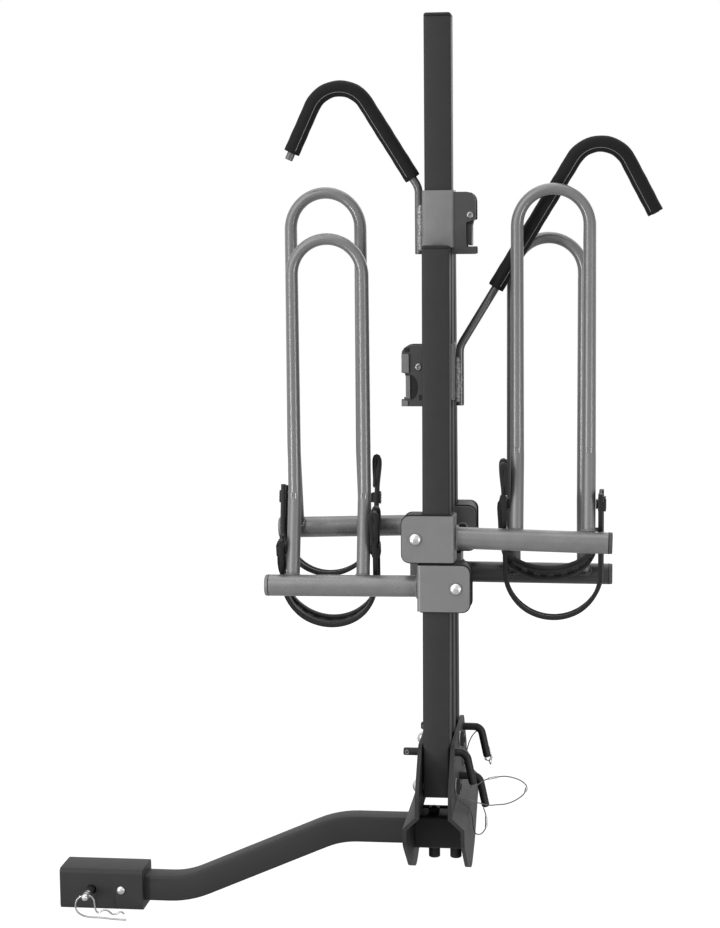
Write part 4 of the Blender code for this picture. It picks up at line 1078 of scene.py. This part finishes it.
def hoop_path():
    arch = []
    for angle in turns(math.pi, 36):
        z = ARCH_Z + HOOP_HALF * math.sin(angle)
        arch.append(Vector((HOOP_HALF * math.cos(angle), upright_y(z), z)))
    legs = []
    for side in (1, -1):
        x = side * HOOP_HALF
        legs.append(rounded([(x, FOOT_Y, 4), (x, BEND_Y, BEND_Z), (x, upright_y(ARCH_Z), ARCH_Z)],
                            [HOOP_BEND], math.radians(4))[:-1])
    first, second = (evenly(leg, 6)[:-1] for leg in legs)
    return first + arch + second[::-1]


def hoop_outline(path):
    """Bending flattens the tube towards the inside of the arch, and the die pinches its legs."""
    def outline(index):
        z = path[index].z
        arch = max(0.0, min(1.0, (z - ARCH_Z + 30) / 60))
        flat = 1 - 0.15 * arch * arch * (3 - 2 * arch)
        pinch = 0.035 * math.exp(-((z - BEND_Z) / 5) ** 2)
        return ring(HOOP_RADIUS, 32, flat - pinch)
    return outline


# %% Hoop, its foot welds and its die marks
def make_hoop(label, body, where):
    path = hoop_path()
    bm = bmesh.new()
    sweep(bm, path, hoop_outline(path))
    piece(label + "_hoop_tube", bm, GREY, body, where, nodes=(label + "_hoop",))
    bm = bmesh.new()
    for side in (-1, 1):
        joint = []
        for angle in turns(2 * math.pi, 32):
            y = FOOT_Y + 2.2 + 8.6 * math.sin(angle)
            height = math.sqrt(max(CROSSBAR_RADIUS ** 2 - y * y, 9.0))
            joint.append(Vector((side * HOOP_HALF + 8.4 * math.cos(angle), y, height)))
        bead(bm, joint, 2.1, 2.8, (0, 0, 1))
    # Painted shade: the rear lower holder's hoop weld takes the dark coat that stands in for its
    # shade.
    in_painted_shade = label == "holder_rear_lower"
    piece(label + "_hoop_weld", bm, PAINTED_SHADE_COAT if in_painted_shade else FOOT_WELD, body, where)
    bm = bmesh.new()
    for side in (-1, 1):
        for offset in (-2.6, 2.6):
            angle = math.asin(offset / HOOP_RADIUS)
            for face in (-1, 1):
                y = leg_y(BEND_Z - 3) - 1.4 + face * (HOOP_RADIUS * math.cos(angle) - 0.55)
                start = Vector((side * HOOP_HALF + offset, y, BEND_Z - 6.5))
                rod(bm, evenly([start, start + Vector((0, 0, 7))], 1.0), 0.9, 0.5, 10)
    # The dents are drawn as ridges, and their lighter coat is a painted highlight.
    piece(label + "_die_marks", bm, DIE_MARK_HIGHLIGHT, body, where)


# %% Crossbar with its end plug
def make_crossbar(label, body, frame_here, side, droop):
    tilt = math.radians(droop)
    axis = Vector((side * math.cos(tilt), 0, -math.sin(tilt)))
    start = BRACKET_WEB + 0.3 + CROSSBAR_RADIUS * math.sin(tilt)
    where = frame_here @ at(side * start, 0, 0, along(axis))
    length = CROSSBAR_END - start
    lip = length - PLUG_LENGTH
    outer, inner = CROSSBAR_RADIUS, CROSSBAR_RADIUS - CROSSBAR_WALL
    bm = bmesh.new()
    lathe(bm, [(inner, 0), (outer - 0.3, 0), (outer, 0.3), (outer, lip - 0.4),
               (outer - 0.3, lip - 0.1), (inner, lip - 0.1), (inner, 0)], 48)
    bmesh.ops.remove_doubles(bm, verts=bm.verts, dist=0.001)
    # Painted shade: the rear lower crossbar takes the dark coat in place of the shade it sits in.
    finish = PAINTED_SHADE_COAT if label == "holder_rear_lower" else GREY
    piece(label + "_crossbar_tube", bm, finish, body, where, nodes=(label + "_crossbar",))
    bm = bmesh.new()
    lathe(bm, [(0, length - 0.5), (8.5, length - 0.5), (9.6, length), (11.4, length),
               (12.3, length - 0.6), (12.6, length - 1.5), (12.6, lip), (10.5, lip),
               (10.4, lip - PLUG_DEPTH), (0, lip - PLUG_DEPTH)], 48)
    # Painted light: plugs at the left ends face the lamp on that side and take the lighter bracket
    # paint,
    # while plugs at the right ends keep the dark plug plastic.
    painted_lit_end = label in ("holder_front_lower", "holder_rear_upper")
    piece(label + "_crossbar_plug", bm, BRACKET if painted_lit_end else PLUG, body, where)
    bm = bmesh.new()
    lathe(bm, [(12.0, lip - 0.5), (12.78, lip - 0.4), (12.78, lip + 0.6), (12.0, lip + 0.7),
               (12.0, lip - 0.5)], 48)
    bmesh.ops.remove_doubles(bm, verts=bm.verts, dist=0.001)
    piece(label + "_crossbar_joint", bm, PLASTIC, body, where)
    bm = bmesh.new()
    joint = [Vector((13.1 * math.cos(a), 13.1 * math.sin(a), 0.9 + 0.5 * math.sin(3 * a)))
             for a in turns(2 * math.pi, 40)]
    bead(bm, joint, 1.9, 3.2, (0, 0, 1))
    piece(label + "_crossbar_weld", bm, FOOT_WELD, body, where)


# %% Bracket, liner and clamp bolt
def make_liner(label, body, frame_here, side):
    """The liner stands a little proud of the bracket all round, with the same round corners."""
    def outline(near, far):
        corners = [(side * near, -LINER_HALF), (-side * far, -LINER_HALF),
                   (-side * far, LINER_HALF), (side * near, LINER_HALF)]
        shape = []
        for index, radius in ((0, 1.0), (1, LINER_CORNER), (2, LINER_CORNER), (3, 1.0)):
            around = [(*corners[(index + step) % 4], 0) for step in (-1, 0, 1)]
            shape += rounded(around, [radius], math.radians(12))[1:-1]
        return [point.to_2d() for point in shape]

    bm = bmesh.new()
    wall = (LINER_FACE - LINER_BORE) / 2
    for face in (-1, 1):
        turned = at(0, face * (LINER_BORE + wall), 0, UPRIGHT)
        prism(bm, outline(LINER_FACE, BRACKET_LIP + 1.1), -wall, wall, 0.4, turned)
    prism(bm, outline(-LINER_BORE, BRACKET_LIP - 0.5), -LINER_BORE, LINER_BORE, 0.2,
          at(0, 0, 0, UPRIGHT))
    web = ((LINER_BORE, -LINER_HALF), (LINER_FACE, -LINER_HALF), (LINER_FACE, LINER_HALF),
           (LINER_BORE, LINER_HALF))
    prism(bm, [(side * x, z) for x, z in web], -LINER_BORE, LINER_BORE, 0.2,
          at(0, 0, 0, UPRIGHT))
    piece(label + "_liner_moulded", bm, PLASTIC, body, frame_here, nodes=(label + "_liner",))


def make_clamp(label, body, frame_here, side):
    refined(label + "_bracket", BRACKET, 0.7, 3)
    make_liner(label, body, frame_here, side)
    seat = frame_here @ at(-side * CLAMP_X, -BRACKET_DEPTH - 0.3, 0, along((0, -1, 0)))
    local = RACK_FRAME.inverted() @ seat
    make_bolt(label + "_bolt", local, 2 * BRACKET_DEPTH + 0.6, 3.9, 7.0, 4.2, 7.2, 5.0)


# %% [markdown]
# ## Ladder straps
# A ladder strap is moulded in one piece: two side rails with rungs between them, and gaps for the
# buckle's tooth. It hangs in a bow below the crossbar. On the mast's side it goes up through its
# buckle, folds over and comes down again beside itself. Rails and rungs are separate sweeps of
# the same path. A thin web closes the gaps of three straps, and on the rear lower one light comes
# through them.

# %% Strap path
STRAP_HALF, STRAP_WIDTH, STRAP_THICK = 56.0, 22.0, 5.2
STRAP_TAIL, STRAP_LOOP = 52.0, 2.7
RAIL, RUNG, RUNG_PITCH = 6.2, 7.6, 16.0
STRAP_TWIST, TWIST_FROM, TWIST_TO = 0.07, 30, 52


def strap_path(drop, side):
    """In the strap's own plane: X along the crossbar and Y down."""
    arm = -side
    top = -STRAP_TAIL + 4.6
    fold = STRAP_HALF + 0.6
    inner = [(arm * (STRAP_HALF - 1.2), -13), (arm * (STRAP_HALF - 1.2), -22),
             (arm * (fold - STRAP_LOOP), -38), (arm * (fold - STRAP_LOOP), top + 2)]
    over = [(arm * (fold - 2.4 * math.cos(angle)), top - 2.4 * math.sin(angle))
            for angle in turns(math.pi, 4)[1:-1]]
    outer = [(arm * (fold + STRAP_LOOP), top + 2), (arm * (fold + STRAP_LOOP), -38),
             (arm * (STRAP_HALF + 1.8), -22), (arm * (STRAP_HALF + 1.2), -12)]
    bow = min(STRAP_HALF, drop)
    round_bow = [(arm * STRAP_HALF * math.cos(angle), drop - bow + bow * math.sin(angle))
                 for angle in turns(math.pi, 24)]
    end = [(-arm * STRAP_HALF, -6), (-arm * STRAP_HALF, -15)]
    places = [*inner, *over, *outer, *round_bow, *end]
    return evenly(smooth_curve([(x, y, 0) for x, y in places], 4), 2.0)


# %% Strap, rungs, pivots and buckles
def eased(value, low, high):
    share = max(0.0, min(1.0, (value - low) / (high - low)))
    return share * share * (3 - 2 * share)


def settle(bm, drop, roll):
    """The bow rolls about its length, and both ends of the strap twist a little to the camera."""
    for vert in bm.verts:
        x, y, z = vert.co
        twist = STRAP_TWIST * eased(abs(x), TWIST_FROM, TWIST_TO)
        vert.co = (x + twist * math.copysign(z, x * z),
                   y + roll * z * eased(y, 0.2 * drop, 0.9 * drop), z)


def make_strap(label, body, where, side, drop, roll, see_through):
    path = strap_path(drop, side)
    total = run_lengths(path)[-1]
    bm = bmesh.new()
    rail = soft_rectangle(RAIL / 2, STRAP_THICK / 2, 0.6, 2)
    for offset in (-1, 1):
        lift = offset * (STRAP_WIDTH - RAIL) / 2
        sweep(bm, [place + Vector((0, 0, lift)) for place in path], rail, (0, 0, 1))
    between = (STRAP_WIDTH - 2 * RAIL) / 2 + 0.6
    if not see_through:
        sweep(bm, path, soft_rectangle(between, 0.4, 0.3, 2), (0, 0, 1))
    rung = soft_rectangle(between, 0.95, 0.4, 2)
    count = int(total / RUNG_PITCH)
    for index in range(count + 1):
        start = min(max(index * total / count - RUNG / 2, 0.2), total - RUNG - 0.2)
        route = stretch_of(path, start, start + RUNG, 1.9)
        sweep(bm, route, rung, (0, 0, 1))
    settle(bm, drop, roll)
    piece(label + "_ladder", bm, RUBBER, body, where, nodes=(label,))
    bm = bmesh.new()
    hoop_face = HOOP_HALF + HOOP_RADIUS + 0.3
    boss = STRAP_HALF + 5 - hoop_face
    for end in (-1, 1):
        hub = at(end * hoop_face, 0, 0, along((end, 0, 0)))
        lathe(bm, [(0, 0), (5.2, 0), (6, 0.5), (6, 1.6), (4.3, 2.4), (4.3, boss - 2),
                   (0, boss - 2)], 28, hub)
        lathe(bm, [(0, boss + 0.4), (2.6, boss + 0.4), (3.4, boss - 0.2), (3.4, boss - 3),
                   (0, boss - 3)], 24, hub)
        block(bm, (9, 12, STRAP_WIDTH - 2), at(end * (STRAP_HALF + 0.8), 0, 0), 1.0)
        block(bm, (2.2, 15, STRAP_WIDTH - 7), at(end * (STRAP_HALF + 4.6), -0.5, 0), 0.8)
        for rib in (-1, 0, 1):
            block(bm, (0.9, 1.4, STRAP_WIDTH - 9), at(end * (STRAP_HALF + 5.6), rib * 3.6, 0), 0.3)
    if label == "holder_front_lower_strap":
        link = [Vector((side * STRAP_HALF + 3.9 * math.cos(a), 14 + 17 * math.sin(a), 0))
                for a in turns(2 * math.pi, 40)]
        sweep(bm, link, soft_rectangle(7.5, 1.3, 0.7, 2), (0, 0, 1), caps=False)
        bmesh.ops.remove_doubles(bm, verts=bm.verts, dist=0.001)
    piece(label + "_buckles", bm, RUBBER, body, where)
    return total


# %% The four holders
for (arm, place), sizes in HOLDERS.items():
    side, height, centre, droop, pins, tilt, drop, roll, see_through = sizes
    label = f"holder_{arm}_{place}"
    body = BODY_OF[label + "_hoop"]
    frame_here = arm_frame(arm) @ at(0, 0, height)
    angle = math.radians(droop)
    axis = Vector((side * math.cos(angle), 0, -math.sin(angle)))
    foot = Vector((side * BRACKET_WEB, 0, 0)) + axis * (centre - BRACKET_WEB)
    make_hoop(label, body, frame_here @ at(*foot))
    make_crossbar(label, body, frame_here, side, droop)
    make_clamp(label, body, frame_here, side)
    pivot = foot + Vector((0, leg_y(pins), pins))
    swing = frame_here @ at(*pivot, spin(-math.pi / 2 + math.radians(tilt), "X"))
    length = make_strap(label + "_strap", BODY_OF[label + "_strap"], swing, side, drop, roll,
                        see_through)
    print(label, "strap", round(length), "mm")

# %% [markdown]
# ## Floor, backdrop and light
# The photograph is a cut-out on white. The world is white to the camera and to reflections, and a
# softer grey as a lamp. The floor is a pale sheet below the rack. A broad lamp from the upper
# left gives the domes their highlight, one from above and one from behind fill in, and two narrow
# lamps, one low at each side, draw the long thin highlights on the hoops.

# %% World
WORLD_FILL = 0.42
scene = bpy.context.scene
scene.view_settings.view_transform = "Standard"
scene.world = bpy.data.worlds.new("studio")
sky = Nodes(scene.world, "Background")
white = sky.ray("Camera")
for kind in ("Transmission", "Glossy"):
    white = white.math("MAXIMUM", white, sky.ray(kind))
sky.vary("Strength", WORLD_FILL + (1.0 - WORLD_FILL) * white)
sky.shader.inputs["Color"].default_value = (1, 1, 1, 1)

# %% Floor
FLOOR_Z = -0.16
FLOOR_SIZE = 9.0
FLOOR_NEAR, FLOOR_FAR = 0.9, 3.4
bm = bmesh.new()
bmesh.ops.create_grid(bm, x_segments=2, y_segments=2, size=FLOOR_SIZE)
mesh = bpy.data.meshes.new("floor")
bm.to_mesh(mesh)
bm.free()
floor = bpy.data.objects.new("floor", mesh)
floor.location = (RACK.x, 0, FLOOR_Z)
scene.collection.objects.link(floor)
floor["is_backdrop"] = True
paper = Finish("pale_floor", None, {"Base Color": (0.42, 0.42, 0.42, 1), "Roughness": 1.0,
                                    "Specular IOR Level": 0.0})
spot = paper.node("ShaderNodeTexCoord", output="Object")
away = paper.node("ShaderNodeVectorMath", {"operation": "LENGTH"}, {0: spot}, output="Value")
paper.vary("Emission Color", 0.83 + 0.23 * paper.ramp(away, FLOOR_NEAR, FLOOR_FAR))
paper.vary("Emission Strength", 0.25 + 0.55 * paper.ray("Camera"))
mesh.materials.append(paper.material)

# %% Lamps
AIM = Vector((RACK.x, 0, 0.55))
LAMPS = {
    "broad_upper_left": ((-1.5, -2.2, 2.3), (2.8, 2.8), 50),
    "strip_left": ((-1.1, -1.5, 0.265), (0.12, 0.83), 17),
    "strip_right": ((1.9, -1.2, 0.265), (0.12, 0.83), 10),
    "top": ((0.2, 0.2, 2.6), (2.4, 2.4), 24),
    "back_fill": ((1.4, 2.6, 1.9), (2.4, 2.4), 20),
}
for name, (place, size, power) in LAMPS.items():
    lamp = bpy.data.lights.new(name, "AREA")
    lamp.shape = "RECTANGLE"
    lamp.size, lamp.size_y = size
    lamp.energy = power
    holder = bpy.data.objects.new(name, lamp)
    holder.location = place
    level = size[0] != size[1]
    aim = Vector((AIM.x, AIM.y, place[2])) if level else AIM
    holder.rotation_euler = (aim - Vector(place)).to_track_quat("-Z", "Y").to_euler()
    scene.collection.objects.link(holder)

# %% [markdown]
# ## Last measure
# The finer shapes must fill the same box as the model, so the change from the model's box is
# printed.

# %% Compare the boxes and finish
seen_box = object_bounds()
grown = [round((b - a) / MM, 2) for near, far in zip(cad_box, seen_box) for a, b in zip(near, far)]
print("pieces", len(pieces), "box change in mm", grown)
